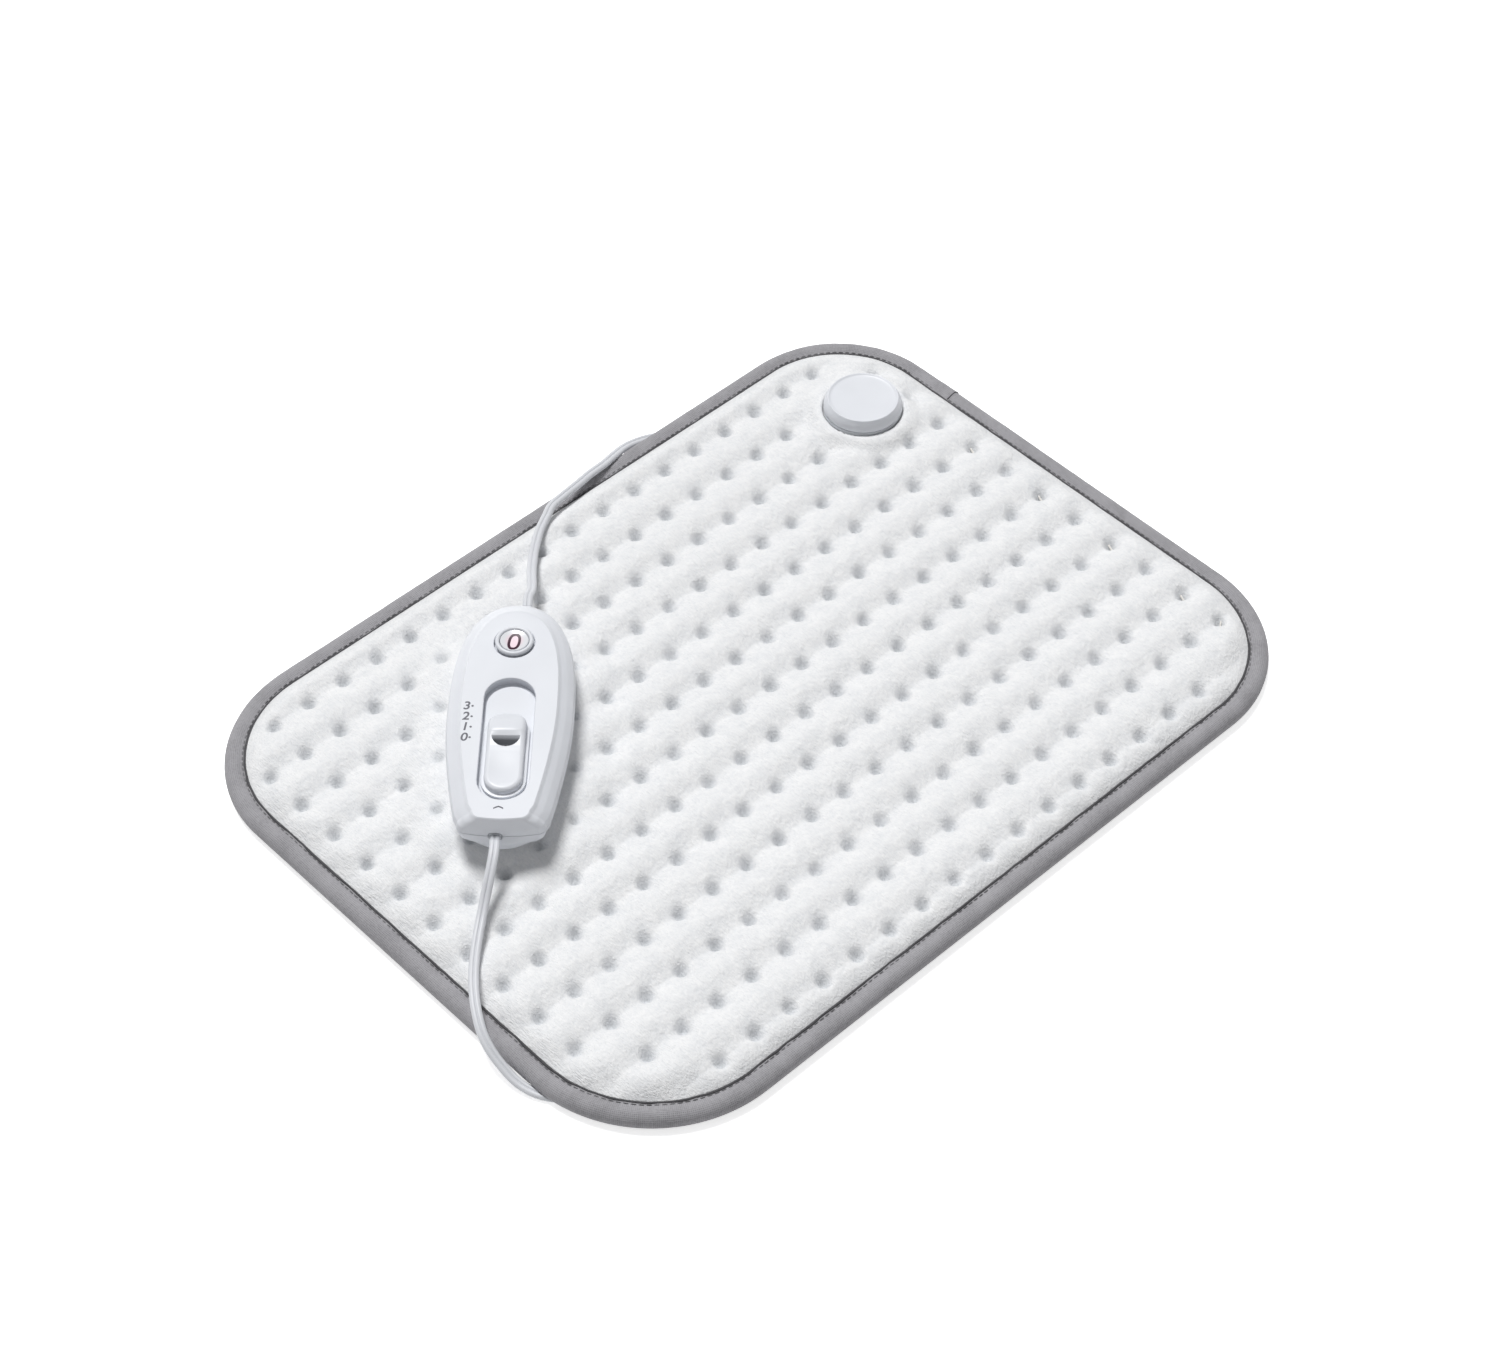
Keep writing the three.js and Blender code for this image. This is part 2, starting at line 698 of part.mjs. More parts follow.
// Woven tape folded round the covers' edges, swept along the rounded outline
function edgeBinding(channels) {
  const top = bindingHeight;
  const bottom = clearance;
  const section = [
    [bindingWidth, bottom], [bindingWidth, bottom + tapeThickness],
    [tapeThickness, bottom + tapeThickness], [tapeThickness, top - tapeThickness],
    [bindingWidth, top - tapeThickness], [bindingWidth, top],
    [bindingRound, top], [bindingRound / 3, top - bindingRound / 3], [0, top - bindingRound],
    [0, bottom + bindingRound], [bindingRound / 3, bottom + bindingRound / 3], [bindingRound, bottom],
  ];
  const cornerX = padLength / 2 - padCornerRadius;
  const cornerY = padWidth / 2 - padCornerRadius;
  const corners = [[1, 1, 0], [-1, 1, 1], [-1, -1, 2], [1, -1, 3]];
  const rings = [];
  for (const [signX, signY, quarter] of corners) {
    for (let i = 0; i <= cornerSteps; i++) {
      const angle = (quarter + i / cornerSteps) * Math.PI / 2;
      rings.push(section.map(([depth, height]) => new THREE.Vector3(
        signX * cornerX + (padCornerRadius - depth) * Math.cos(angle),
        signY * cornerY + (padCornerRadius - depth) * Math.sin(angle), height)));
    }
  }
  return cut(loft(rings, true), ...channels);
}

function carrierFleece() {
  const top = fleeceBottom + fleeceThickness;
  const sheet = prism(padOutline(layerMargin + fleeceMargin), fleeceBottom, top);
  const hump = turnedWithController(prism(humpOutline(clearance), 0, top + overrun));
  return cut(sheet, hump, ...connectorHoles(fleeceBottom - overrun, top + overrun));
}

// The wire runs under the ridges, turns at the ends of pairs of runs and keeps clear of the hump
function wirePoints() {
  const runs = dimpleRows - 1;
  const radius = rowPitch / 2;
  const endX = connectorX + spigotX + spigotRadius + clearance + wireDiameter;
  const points = [
    [endX, connectorY + wireEndSpread],
    [endX + wireDiameter * 3, connectorY + wireEndSpread],
    [wireReach + radius, connectorY + rowPitch / 2],
    [wireReach + radius, connectorY + rowPitch],
  ];
  const yOf = (run) => rowPitch * (runs / 2 - 0.5 - run);
  for (let run = 0; run < runs; run++) {
    const leftward = run % 2 === 0;
    const pair = leftward ? run : run - 1;
    const nearHump = pair === 2 || pair === 4;
    const left = nearHump ? -wireShortReach : -wireReach;
    const rightRun = leftward ? run - 1 : run;
    let right = rightRun === 1 ? wireByConnector : wireReach;
    if (run === 0) right = wireReach;
    const from = leftward ? right : left;
    const to = leftward ? left : right;
    points.push([from, yOf(run)], [to, yOf(run)]);
    if (run === runs - 1) break;
    const side = leftward ? -1 : 1;
    for (let step = 1; step < wireTurnSteps; step++) {
      const angle = Math.PI * step / wireTurnSteps;
      points.push([to + side * radius * Math.sin(angle), yOf(run) - radius + radius * Math.cos(angle)]);
    }
  }
  points.push([wireReturn, yOf(runs - 1) + radius], [wireReturn, connectorY - rowPitch]);
  points.push([endX + wireDiameter * 3, connectorY - wireEndSpread], [endX, connectorY - wireEndSpread]);
  return points.map(([x, y]) => new THREE.Vector3(x, y, wireHeight));
}

function heatingWire() {
  const section = [];
  for (let i = 0; i < 6; i++) {
    const angle = i * Math.PI / 3;
    section.push(new THREE.Vector2(Math.cos(angle), Math.sin(angle)).multiplyScalar(wireDiameter / 2));
  }
  return loft(sectionRings(wirePoints(), section));
}

function thermalCutout(run) {
  const y = rowPitch * (run - 0.5) + wireDiameter / 2 + clearance + cutoutWidth / 2;
  return box(cutoutLength, cutoutWidth, cutoutThickness, cutoutPlace, y,
    fleeceBottom + fleeceThickness + clearance);
}

// Connector: a cap and collar on top, a base below, clamped through the pad by two screws
function connectorCollar() {
  const bottom = crestHeight + clearance;
  const flange = cylinder(connectorRadius, bottom, bottom + collarHeight);
  const legBottom = backLayerHeight;
  const legs = [-clampBossY, 0, clampBossY].map((y) => cylinder(
    spigotRadius, legBottom, bottom + collarHeight / 2, spigotX, y));
  const bores = [-clampBossY, clampBossY].map((y) => cylinder(
    screwShank + clearance, legBottom - overrun, bottom + collarHeight / 4, spigotX, y));
  return cut(join(flange, ...legs), ...bores,
    cylinder(spigotBore, legBottom - overrun, bottom + collarHeight + overrun, spigotX, 0));
}

function connectorCap() {
  const bottom = crestHeight + collarHeight + 2 * clearance;
  const top = bottom + capHeight;
  const rimRadius = connectorRadius - capChamfer;
  return turned([
    [0, bottom], [connectorRadius, bottom], [connectorRadius, top - capChamfer * capShoulderShare],
    [rimRadius, top - capRimWidth / 4], [rimRadius - capRimWidth / 2, top],
    [rimRadius - capRimWidth, top - capRimWidth / 4], [rimRadius - 2 * capRimWidth, top - capDish],
    [0, top - capDish],
  ]);
}

function connectorBase() {
  const top = backLayerHeight - clearance;
  const slotFloor = couplingMiddle() - couplingThickness / 2 - clearance;
  const slotEnd = couplingInside - baseRadius;
  const slot = box(baseRadius + overrun + slotEnd, couplingWidth + 2 * clearance,
    couplingThickness + 2 * clearance, (slotEnd - baseRadius - overrun) / 2, 0, slotFloor);
  const screwHoles = [-clampBossY, clampBossY].flatMap((y) => [
    cylinder(screwShank + clearance, baseFloor - overrun, top + overrun, spigotX, y),
    cylinder(screwHead + clearance, baseFloor - overrun, baseFloor + screwSink, spigotX, y),
  ]);
  const wireWay = cylinder(spigotBore, couplingMiddle(), top + overrun, spigotX, 0);
  return cut(cylinder(baseRadius, baseFloor, top), slot, ...screwHoles, wireWay, ...contactWays(slotEnd));
}

function contactWays(slotEnd) {
  return [-1, 1].map((side) => contactRod(slotEnd - overrun, contactInBase + clearance + overrun,
    side, contactRadius + clearance));
}

function contactRod(from, length, side, radius) {
  const geometry = new THREE.CylinderGeometry(radius, radius, length, smallRoundSteps);
  geometry.rotateZ(Math.PI / 2);
  return solid(geometry.translate(from + length / 2, side * contactSpacing / 2, couplingMiddle()));
}

function couplingPlug() {
  const front = couplingInside - baseRadius - clearance;
  const back = couplingBack();
  const half = couplingWidth / 2;
  const shape = new THREE.Shape();
  shape.moveTo(front, -half);
  shape.lineTo(front, half);
  shape.lineTo(back + couplingTaper, half);
  shape.quadraticCurveTo(back + couplingTaper / 2, half, back, half * couplingNeckShare);
  shape.lineTo(back, -half * couplingNeckShare);
  shape.quadraticCurveTo(back + couplingTaper / 2, -half, back + couplingTaper, -half);
  const body = prism(shape, couplingMiddle() - couplingThickness / 2, couplingTop());
  const depth = contactLength - contactInBase;
  return cut(body, ...[-1, 1].map((side) => contactRod(front - depth, depth + overrun,
    side, contactRadius + clearance)));
}

function screw(headBottom, length) {
  const top = headBottom + screwHeadHeight;
  return [[0, headBottom], [screwHead * screwCrownShare, headBottom],
    [screwHead, headBottom + screwHeadHeight * screwEdgeShare],
    [screwHead, top], [screwShank, top], [screwShank, headBottom + length - screwShank],
    [0, headBottom + length]];
}

// One outline of the housing at some height: a blunt nose, sides that draw in, a cut-off end
function shellOutline(halfWidth, nose, tail, bulge) {
  const right = [];
  const endHalf = halfWidth - shellSideDraw;
  const flat = endHalf - endCornerRadius;
  for (let i = 0; i <= 2; i++) {
    const share = i / 2;
    right.push([flat * share, -tail - bulge * (1 - share * share)]);
  }
  for (let i = 1; i <= 3; i++) {
    const angle = i * Math.PI / 6;
    right.push([flat + endCornerRadius * Math.sin(angle),
      -tail + endCornerRadius * (1 - Math.cos(angle))]);
  }
  for (let i = sideSteps - 1; i >= 1; i--) {
    const share = i / sideSteps;
    right.push([halfWidth - shellSideDraw * share ** sidePowerShare, -tail * share]);
  }
  for (let i = 0; i < noseSteps; i++) {
    const angle = (1 - i / noseSteps) * Math.PI / 2;
    right.push([halfWidth * Math.sin(angle) ** nosePowerShares[0],
      nose * Math.cos(angle) ** nosePowerShares[1]]);
  }
  const left = right.slice(1).reverse().map(([x, y]) => [-x, y]);
  return [...right, [0, nose], ...left].map(([x, y]) => new THREE.Vector2(x, widestY + y));
}

// Rings as shares: height, half-width, nose length, tail length and bulge of the end
const topRingShares = [[0, 1, 1, 1, 1], [0.33, 0.975, 0.985, 1, 1], [0.66, 0.885, 0.945, 0.998, 0.8],
  [0.89, 0.8, 0.89, 0.996, 0.6], [0.98, 0.762, 0.862, 0.993, 0.5], [1, 0.73, 0.842, 0.985, 0.4]];
const bottomRingShares = [[0, 0.66, 0.8, 0.84, 3], [0.09, 0.76, 0.88, 0.89, 3.4],
  [0.33, 0.88, 0.95, 0.955, 3], [0.66, 0.97, 0.99, 0.99, 2], [1, 1, 1, 1, 1]];
const innerTopRings = [0, 2, 5];
const innerBottomRings = [0, 2, 4];
const endBulge = 1.4;

function shellBody(ringShares, bottom, top, wall) {
  const rings = ringShares.map(([height, width, nose, tail, bulge]) => {
    const outline = shellOutline(shellHalfWidth * width - wall, noseLength * nose - wall,
      tailLength * tail - wall, endBulge * bulge);
    const level = bottom + height * (top - bottom);
    return outline.map((point) => new THREE.Vector3(point.x, point.y, level));
  });
  return loft(rings);
}

function bossPlaces() {
  return [[-bossRearX, bossRearY], [bossRearX, bossRearY],
    [-bossFrontX, bossFrontY], [bossFrontX, bossFrontY]];
}

function glandShape(grow) {
  const half = glandHalfWidth + grow;
  const rise = glandHalfHeight + grow;
  return roundedRectangle(-half, half, -rise, rise, rise * glandRoundShare);
}

// A solid across an end wall: its section lies across the controller, and it runs along the axis
function lengthwise(shape, x, from, to, height) {
  const options = { depth: to - from, bevelEnabled: false, curveSegments: glandSteps };
  const geometry = new THREE.ExtrudeGeometry(shape, options).rotateX(-Math.PI / 2);
  return solid(geometry.translate(x, from, height));
}

const endFaceY = widestY - tailLength - endBulge;
const noseY = widestY + noseLength;

function outletHoles() {
  const shape = glandShape(clearance);
  const depth = 3 * shellWall;
  return [
    lengthwise(shape, mainsOutletX, endFaceY - overrun, endFaceY + depth, partingHeight),
    lengthwise(shape, padOutletX, noseY - depth, noseY + overrun, partingHeight),
  ];
}

function trayOutline(grow) {
  return stadium(slotHalfWidth + grow, slotBack - grow, slotBack + slotLength + grow);
}

function topShell() {
  const bottom = partingHeight + clearance / 2;
  const outer = shellBody(topRingShares, bottom, shellHeight, 0);
  const inner = shellBody(innerTopRings.map((ring) => topRingShares[ring]),
    bottom - clearance, roofHeight, shellWall);
  const tray = prism(trayOutline(trayWall), trayHeight - trayWall, roofHeight + overrun / 4);
  const recess = prism(trayOutline(0), trayHeight, shellHeight + overrun);
  const stemSlot = box(stemWidth + 2 * clearance, stemSlotLength, trayWall + 2 * overrun,
    0, stemY + sliderTravel / 2, trayHeight - trayWall - overrun);
  const bosses = bossPlaces().map(([x, y]) => cylinder(
    bossRadius, boardTop + clearance, roofHeight + overrun / 4, x, y));
  const bores = bossPlaces().map(([x, y]) => cylinder(
    screwShank + clearance, boardTop - overrun, trayHeight - trayWall, x, y));
  const displayHole = cylinder(displayRadius + clearance, roofHeight - overrun,
    shellHeight + overrun, 0, displayY);
  return cut(join(cut(outer, inner), tray, ...bosses),
    recess, stemSlot, ...bores, displayHole, ...outletHoles());
}

function bottomShell() {
  const top = partingHeight - clearance / 2;
  const outer = shellBody(bottomRingShares, 0, top, 0);
  const inner = shellBody(innerBottomRings.map((ring) => bottomRingShares[ring]),
    shellWall, top + clearance, shellWall);
  const posts = bossPlaces().map(([x, y]) => cylinder(
    bossRadius, 0, boardHeight - clearance, x, y).intersect(outer));
  const holes = bossPlaces().flatMap(([x, y]) => [
    cylinder(screwShank + clearance, -overrun, boardHeight + overrun, x, y),
    cylinder(screwHead + clearance, -overrun, screwSink + screwHeadHeight, x, y),
  ]);
  return cut(join(cut(outer, inner), ...posts), ...holes, ...outletHoles());
}

// Side view of the thumb piece: shares of its length from the rear end, and of its rise
const thumbProfileShares = [[0, -1], [0, 0.12], [0.03, 0.35], [0.09, 0.47], [0.3, 0.42], [0.5, 0.4],
  [0.6, 0.12], [0.66, 0.3], [0.725, 0.94], [0.75, 1], [0.79, 0.97], [0.87, 0.72], [0.95, 0.3],
  [1, -0.12], [1, -1]];

// A solid with a side view in the axis and height directions, running across the controller
function sideways(shape, width, x) {
  const options = { depth: width, bevelEnabled: false };
  const geometry = new THREE.ExtrudeGeometry(shape, options).translate(0, 0, -width / 2);
  const turn = new THREE.Matrix4().makeBasis(
    new THREE.Vector3(0, 1, 0), new THREE.Vector3(0, 0, 1), new THREE.Vector3(1, 0, 0));
  return solid(geometry.applyMatrix4(turn).translate(x, 0, 0));
}

function shapeOf(points) {
  return new THREE.Shape(points.map(([x, y]) => new THREE.Vector2(x, y)));
}

const stemBottom = carriageTop - carriageThickness / 2;

function sliderCap() {
  const footBottom = trayHeight + clearance;
  const bodyBottom = footBottom + footThickness / 2;
  const foot = prism(stadium(sliderHalfWidth + footOverhang, sliderBack - footOverhang,
    sliderFront + footFront), footBottom, footBottom + footThickness);
  const profile = thumbProfileShares.map(([y, z]) => [sliderBack + y * sliderLength,
    z < 0 ? shellHeight + z * (shellHeight - bodyBottom) : shellHeight + z * sliderRise]);
  const pillow = sideways(shapeOf(profile), 2 * sliderHalfWidth + overrun, 0).intersect(
    prism(stadium(sliderHalfWidth, sliderBack, sliderFront), footBottom, shellHeight + 2 * sliderRise));
  const stem = box(stemWidth, stemLength, bodyBottom - stemBottom, 0, stemY, stemBottom);
  return join(pillow, foot, stem);
}

function sliderCarriage() {
  const plate = box(carriageWidth, carriageLength, carriageThickness, 0, stemY, carriageBottom);
  const seat = box(stemWidth + 2 * clearance, stemLength + 2 * clearance, carriageThickness,
    0, stemY, stemBottom - clearance);
  return cut(plate, seat);
}

const trackTop = boardTop + clearance + trackThickness;

function contactWiper() {
  const top = carriageBottom - clearance;
  const low = trackTop + clearance;
  const half = wiperLength / 2;
  const t = wiperThickness;
  const points = [[-half, top], [-half, top - t], [half - 3 * t, top - t], [-half / 3, low],
    [2 * t - half / 3, low], [half, top - t], [half, top]];
  return sideways(shapeOf(points.map(([y, z]) => [y + stemY, z])), wiperWidth, 0);
}

function contactTrack() {
  return box(trackWidth, trackLength, trackThickness, 0, stemY + sliderTravel / 2, boardTop + clearance);
}

const railTop = trayHeight - trayWall - clearance;
const railBottom = railTop - railHeight;

function detentRail() {
  const step = sliderTravel / (levelCount - 1);
  const half = step / 3;
  const points = [[stemY - step, railTop], [stemY - step, railBottom]];
  for (let level = 0; level < levelCount; level++) {
    const y = stemY + level * step;
    points.push([y - half, railBottom], [y, railBottom + notchDepth], [y + half, railBottom]);
  }
  points.push([stemY + sliderTravel + step, railBottom], [stemY + sliderTravel + step, railTop]);
  return sideways(shapeOf(points), railWidth, railOffset);
}

function detentSpring() {
  const top = carriageBottom - clearance;
  const inner = carriageWidth / 4;
  const outer = railOffset + railWidth / 4;
  const leaf = box(outer - inner, springWidth, springThickness, (inner + outer) / 2, stemY,
    top - springThickness);
  const noseTop = railBottom - clearance;
  const nose = box(railWidth / 2, springWidth / 2, noseTop - top + springThickness / 2,
    railOffset, stemY, top - springThickness / 2);
  return join(leaf, nose);
}

// Display: a ring with a flange under the roof, a dished lens in it, a light module below
const bezelTop = shellHeight + displayProud;
const bezelFlangeTop = roofHeight - clearance;
const bezelBottom = bezelFlangeTop - flangeThickness;
const lensTop = bezelTop - lensDish;
const lensBottom = lensTop - lensThickness;

function displayBezel() {
  const inner = displayLensRadius + clearance;
  const ledge = displayLensRadius - lensLedge;
  const edge = (displayRadius - inner) / 3;
  return turned([
    [ledge, bezelBottom], [displayRadius + displayFlange, bezelBottom],
    [displayRadius + displayFlange, bezelFlangeTop], [displayRadius, bezelFlangeTop],
    [displayRadius, bezelTop - edge], [displayRadius - edge, bezelTop], [inner + edge, bezelTop],
    [inner, bezelTop - edge], [inner, lensBottom - clearance], [ledge, lensBottom - clearance],
    [ledge, bezelBottom],
  ], 0, displayY);
}

function displayLens() {
  const edge = lensThickness / 4;
  return turned([
    [0, lensBottom], [displayLensRadius, lensBottom], [displayLensRadius, lensTop - edge],
    [displayLensRadius - edge, lensTop], [displayLensRadius / 2, lensTop - lensDish * lensDishShare],
    [0, lensTop - lensDish],
  ], 0, displayY);
}

function lightModule() {
  const bottom = boardTop + clearance;
  return box(lightModuleSize, lightModuleSize, bezelBottom - clearance - bottom, 0, displayY, bottom);
}

function circuitBoard() {
  const inset = boardMargin + shellWall;
  const outline = shellOutline(shellHalfWidth - inset, noseLength - inset - boardNoseRoom,
    tailLength - inset, clearance);
  const plate = loft([boardHeight, boardTop].map(
    (level) => outline.map((point) => new THREE.Vector3(point.x, point.y, level))));
  const holes = bossPlaces().map(([x, y]) => cylinder(
    screwShank + clearance, boardHeight - overrun, boardTop + overrun, x, y));
  return cut(plate, ...holes);
}

// A turned piece that lies along the controller's axis
function lyingTurned(profile, x, height) {
  const points = profile.map(([radius, along]) => new THREE.Vector2(radius, along));
  return solid(new THREE.LatheGeometry(points, smallRoundSteps).translate(x, 0, height));
}

const partSide = (bossFrontX + shellHalfWidth) / 2 - bossRadius;

function fuse() {
  const back = -fuseLength / 2;
  const cap = fuseLength / 4;
  const glass = fuseRadius * fuseGlassShare;
  return lyingTurned([[0, back], [fuseRadius, back], [fuseRadius, back + cap], [glass, back + cap],
    [glass, -back - cap], [fuseRadius, -back - cap], [fuseRadius, -back], [0, -back]],
  -partSide, boardTop + clearance + fuseRadius);
}

function resistor() {
  const back = widestY - resistorLength * 2;
  const waist = resistorRadius * resistorWaistShare;
  const end = resistorLength / 4;
  const shoulder = end * resistorShoulderShare;
  return lyingTurned([[0, back], [resistorRadius, back + end / 4], [resistorRadius, back + end],
    [waist, back + shoulder], [waist, back + resistorLength - shoulder],
    [resistorRadius, back + resistorLength - end], [resistorRadius, back + resistorLength - end / 4],
    [0, back + resistorLength]], partSide, boardTop + clearance + resistorRadius);
}

function capacitor() {
  return box(capacitorWidth, capacitorLength, capacitorHeight, partSide, widestY, boardTop + clearance);
}

function triac() {
  const y = fuseLength / 2 + triacWidth;
  return box(triacThickness, triacWidth, triacHeight, -partSide, y, boardTop + clearance);
}

function shellScrew([x, y]) {
  return turned(screw(screwSink - clearance, screwLength), x, y);
}

function glandSeat(faceY, way) {
  return faceY - way * (way > 0 ? noseGlandDepth : tailGlandDepth);
}

function glandInnerFace(faceY, way) {
  return glandSeat(faceY, way) - way * glandFlangeThickness;
}

// Bush in an end wall with a flange inside; way is +1 at the nose and -1 at the cut-off end
function gland(x, faceY, way) {
  const outer = faceY + way * glandProud;
  const seat = glandSeat(faceY, way);
  const inner = glandInnerFace(faceY, way);
  const bush = lengthwise(glandShape(0), x, Math.min(outer, seat), Math.max(outer, seat), partingHeight);
  const flange = lengthwise(glandShape(glandFlange), x, Math.min(seat, inner), Math.max(seat, inner),
    partingHeight);
  return join(bush, flange);
}

function innerLead(x, faceY, way) {
  const section = new THREE.Shape(scaledSection(cordSectionShares, cordWidth, cordThickness));
  const near = glandInnerFace(faceY, way) - way * clearance;
  const far = near - way * innerLeadLength;
  return lengthwise(section, x, Math.min(near, far), Math.max(near, far), partingHeight);
}

function cordClamp(x, faceY, way) {
  const y = glandInnerFace(faceY, way) - way * innerLeadLength * clampPlaceShare;
  const bottom = boardTop + clearance;
  const top = partingHeight + cordThickness / 2 + clearance + clampThickness;
  const block = box(clampWidth, clampLength, top - bottom, x, y, bottom);
  const tunnel = box(cordWidth + 2 * clearance, clampLength + overrun, cordThickness + 2 * clearance,
    x, y, partingHeight - cordThickness / 2 - clearance);
  return cut(block, tunnel);
}

// The coil spirals in on the floor, climbs one layer where it turns, and spirals out on top
function coilPoints() {
  const points = [];
  const steps = Math.round(2 * turnsPerLayer * stepsPerTurn);
  for (let i = 0; i <= steps; i++) {
    const turn = (2 * i / steps - 1) * turnsPerLayer;
    const radius = coilInnerRadius + coilPitch * Math.abs(turn);
    const angle = 2 * Math.PI * (turn + turnsPerLayer) - Math.PI / 2;
    const climb = THREE.MathUtils.smoothstep(turn, -climbTurnShare / 2, climbTurnShare / 2);
    points.push(new THREE.Vector3(coilX + radius * Math.cos(angle), coilY + radius * Math.sin(angle),
      coilBottomLevel + coilRise * climb));
  }
  points.unshift(points[0].clone().setX(coilX - cordWidth));
  points.push(points.at(-1).clone().setX(coilX - cordWidth));
  return points;
}

// Least gap between turns: the flat cord is taken as a level strip with round edges
function leastCoilGap(points) {
  const flat = (cordWidth - cordThickness) / 2;
  let least = Infinity;
  for (let i = 0; i < points.length; i++) {
    for (let j = i + Math.round(stepsPerTurn / 2); j < points.length; j++) {
      const across = Math.hypot(points[i].x - points[j].x, points[i].y - points[j].y);
      const level = Math.max(across - 2 * flat, 0);
      least = Math.min(least, Math.hypot(level, points[i].z - points[j].z) - cordThickness);
    }
  }
  return least;
}

function mainsCordCurve() {
  const start = fromController(mainsOutletX, endFaceY - glandProud - clearance, partingHeight);
  const end = new THREE.Vector3(coilX - cordWidth - clearance, coilY - coilOuterRadius, coilBottomLevel);
  return routeCurve([start, ...mainsRoute.map((p) => new THREE.Vector3(...p)), end]);
}

function mainsTailCurve() {
  const start = new THREE.Vector3(coilX - cordWidth - clearance, coilY + coilOuterRadius,
    coilBottomLevel + coilRise);
  const end = fromController(plugX, plugTailY - clearance, plugMiddle - controllerBottom);
  return routeCurve([start, ...mainsTailRoute.map((p) => new THREE.Vector3(...p)), end]);
}

function padCordCurve() {
  const start = fromController(padOutletX, noseY + glandProud + clearance, partingHeight);
  const end = new THREE.Vector3(connectorX + couplingBack() - clearance, connectorY, couplingMiddle());
  return routeCurve([start, ...padRoute.map((p) => new THREE.Vector3(...p)), end]);
}

// Plug in the controller's directions, lying on the floor
function plugBody() {
  const shape = new THREE.Shape();
  const shoulder = plugGripFront + plugBodyLength * plugShoulderShare;
  shape.moveTo(-plugNeckHalfWidth, plugGripFront);
  shape.lineTo(plugNeckHalfWidth, plugGripFront);
  shape.quadraticCurveTo(plugHalfWidth, plugGripFront + plugBevel, plugHalfWidth, shoulder);
  shape.lineTo(plugHalfWidth, plugFront);
  shape.lineTo(-plugHalfWidth, plugFront);
  shape.lineTo(-plugHalfWidth, shoulder);
  shape.quadraticCurveTo(-plugHalfWidth, plugGripFront + plugBevel, -plugNeckHalfWidth, plugGripFront);
  const body = new THREE.ExtrudeGeometry(shape, {
    depth: plugThickness - 2 * plugBevel, bevelThickness: plugBevel, bevelSize: plugBevel,
    bevelOffset: -plugBevel, bevelSegments: 2, curveSegments: 4,
  }).translate(plugX, 0, plugBottom + plugBevel);
  const grip = lyingTurned([[0, plugTailY], [plugGripHalfWidth * plugGripEndShare, plugTailY],
    [plugGripHalfWidth, plugGripFront], [plugGripHalfWidth, plugGripFront + overrun],
    [0, plugGripFront + overrun]], plugX, plugMiddle);
  const bores = [-1, 1].map((side) => lyingTurned([
    [0, plugFront - pinSeat - clearance], [pinRadius + clearance, plugFront - pinSeat - clearance],
    [pinRadius + clearance, plugFront + overrun], [0, plugFront + overrun],
  ], plugX + side * pinSpacing / 2, plugMiddle));
  return turnedWithController(cut(join(solid(body), grip), ...bores));
}

function plugPin(side) {
  const back = plugFront - pinSeat;
  const tip = plugFront + pinLength;
  const sleeve = plugFront + pinSleeveLength;
  const bare = pinRadius * barePinShare;
  return turnedWithController(lyingTurned([
    [0, back], [pinRadius, back], [pinRadius, sleeve], [bare, sleeve],
    [bare, tip - pinRadius / 2], [bare / 2, tip], [0, tip],
  ], plugX + side * pinSpacing / 2, plugMiddle));
}

const heatingPad = new THREE.Group();

const mainsCurve = mainsCordCurve();
const tailCurve = mainsTailCurve();
const padCurve = padCordCurve();
const channels = [mainsCurve, tailCurve, padCurve].map(cordChannel);

addPiece(heatingPad, 'front_cover', frontCover(channels), material.plush);
addPiece(heatingPad, 'back_cover', backCover(channels), material.lining);
addPiece(heatingPad, 'edge_binding', edgeBinding(channels), material.tape);
addPiece(heatingPad, 'carrier_fleece', carrierFleece(), material.fleece);
addPiece(heatingPad, 'heating_wire', heatingWire(), material.wire);
addPiece(heatingPad, 'thermal_cutout_1', thermalCutout(1), material.black);
addPiece(heatingPad, 'thermal_cutout_2', thermalCutout(-2), material.black);

const connector = new THREE.Group();
connector.position.set(connectorX, connectorY, 0);
heatingPad.add(connector);
addPiece(connector, 'connector_collar', connectorCollar(), material.moulding);
addPiece(connector, 'connector_cap', connectorCap(), material.housing);
addPiece(connector, 'connector_base', connectorBase(), material.moulding);
addPiece(connector, 'coupling_plug', couplingPlug(), material.moulding);
for (const [number, side] of [[1, -1], [2, 1]]) {
  addPiece(connector, `connector_screw_${number}`,
    turned(screw(baseFloor + clearance, crestHeight - overrun), spigotX, side * clampBossY), material.steel);
  addPiece(connector, `contact_pin_${number}`,
    contactRod(couplingInside - baseRadius + contactInBase - contactLength, contactLength, side,
      contactRadius), material.brass);
}

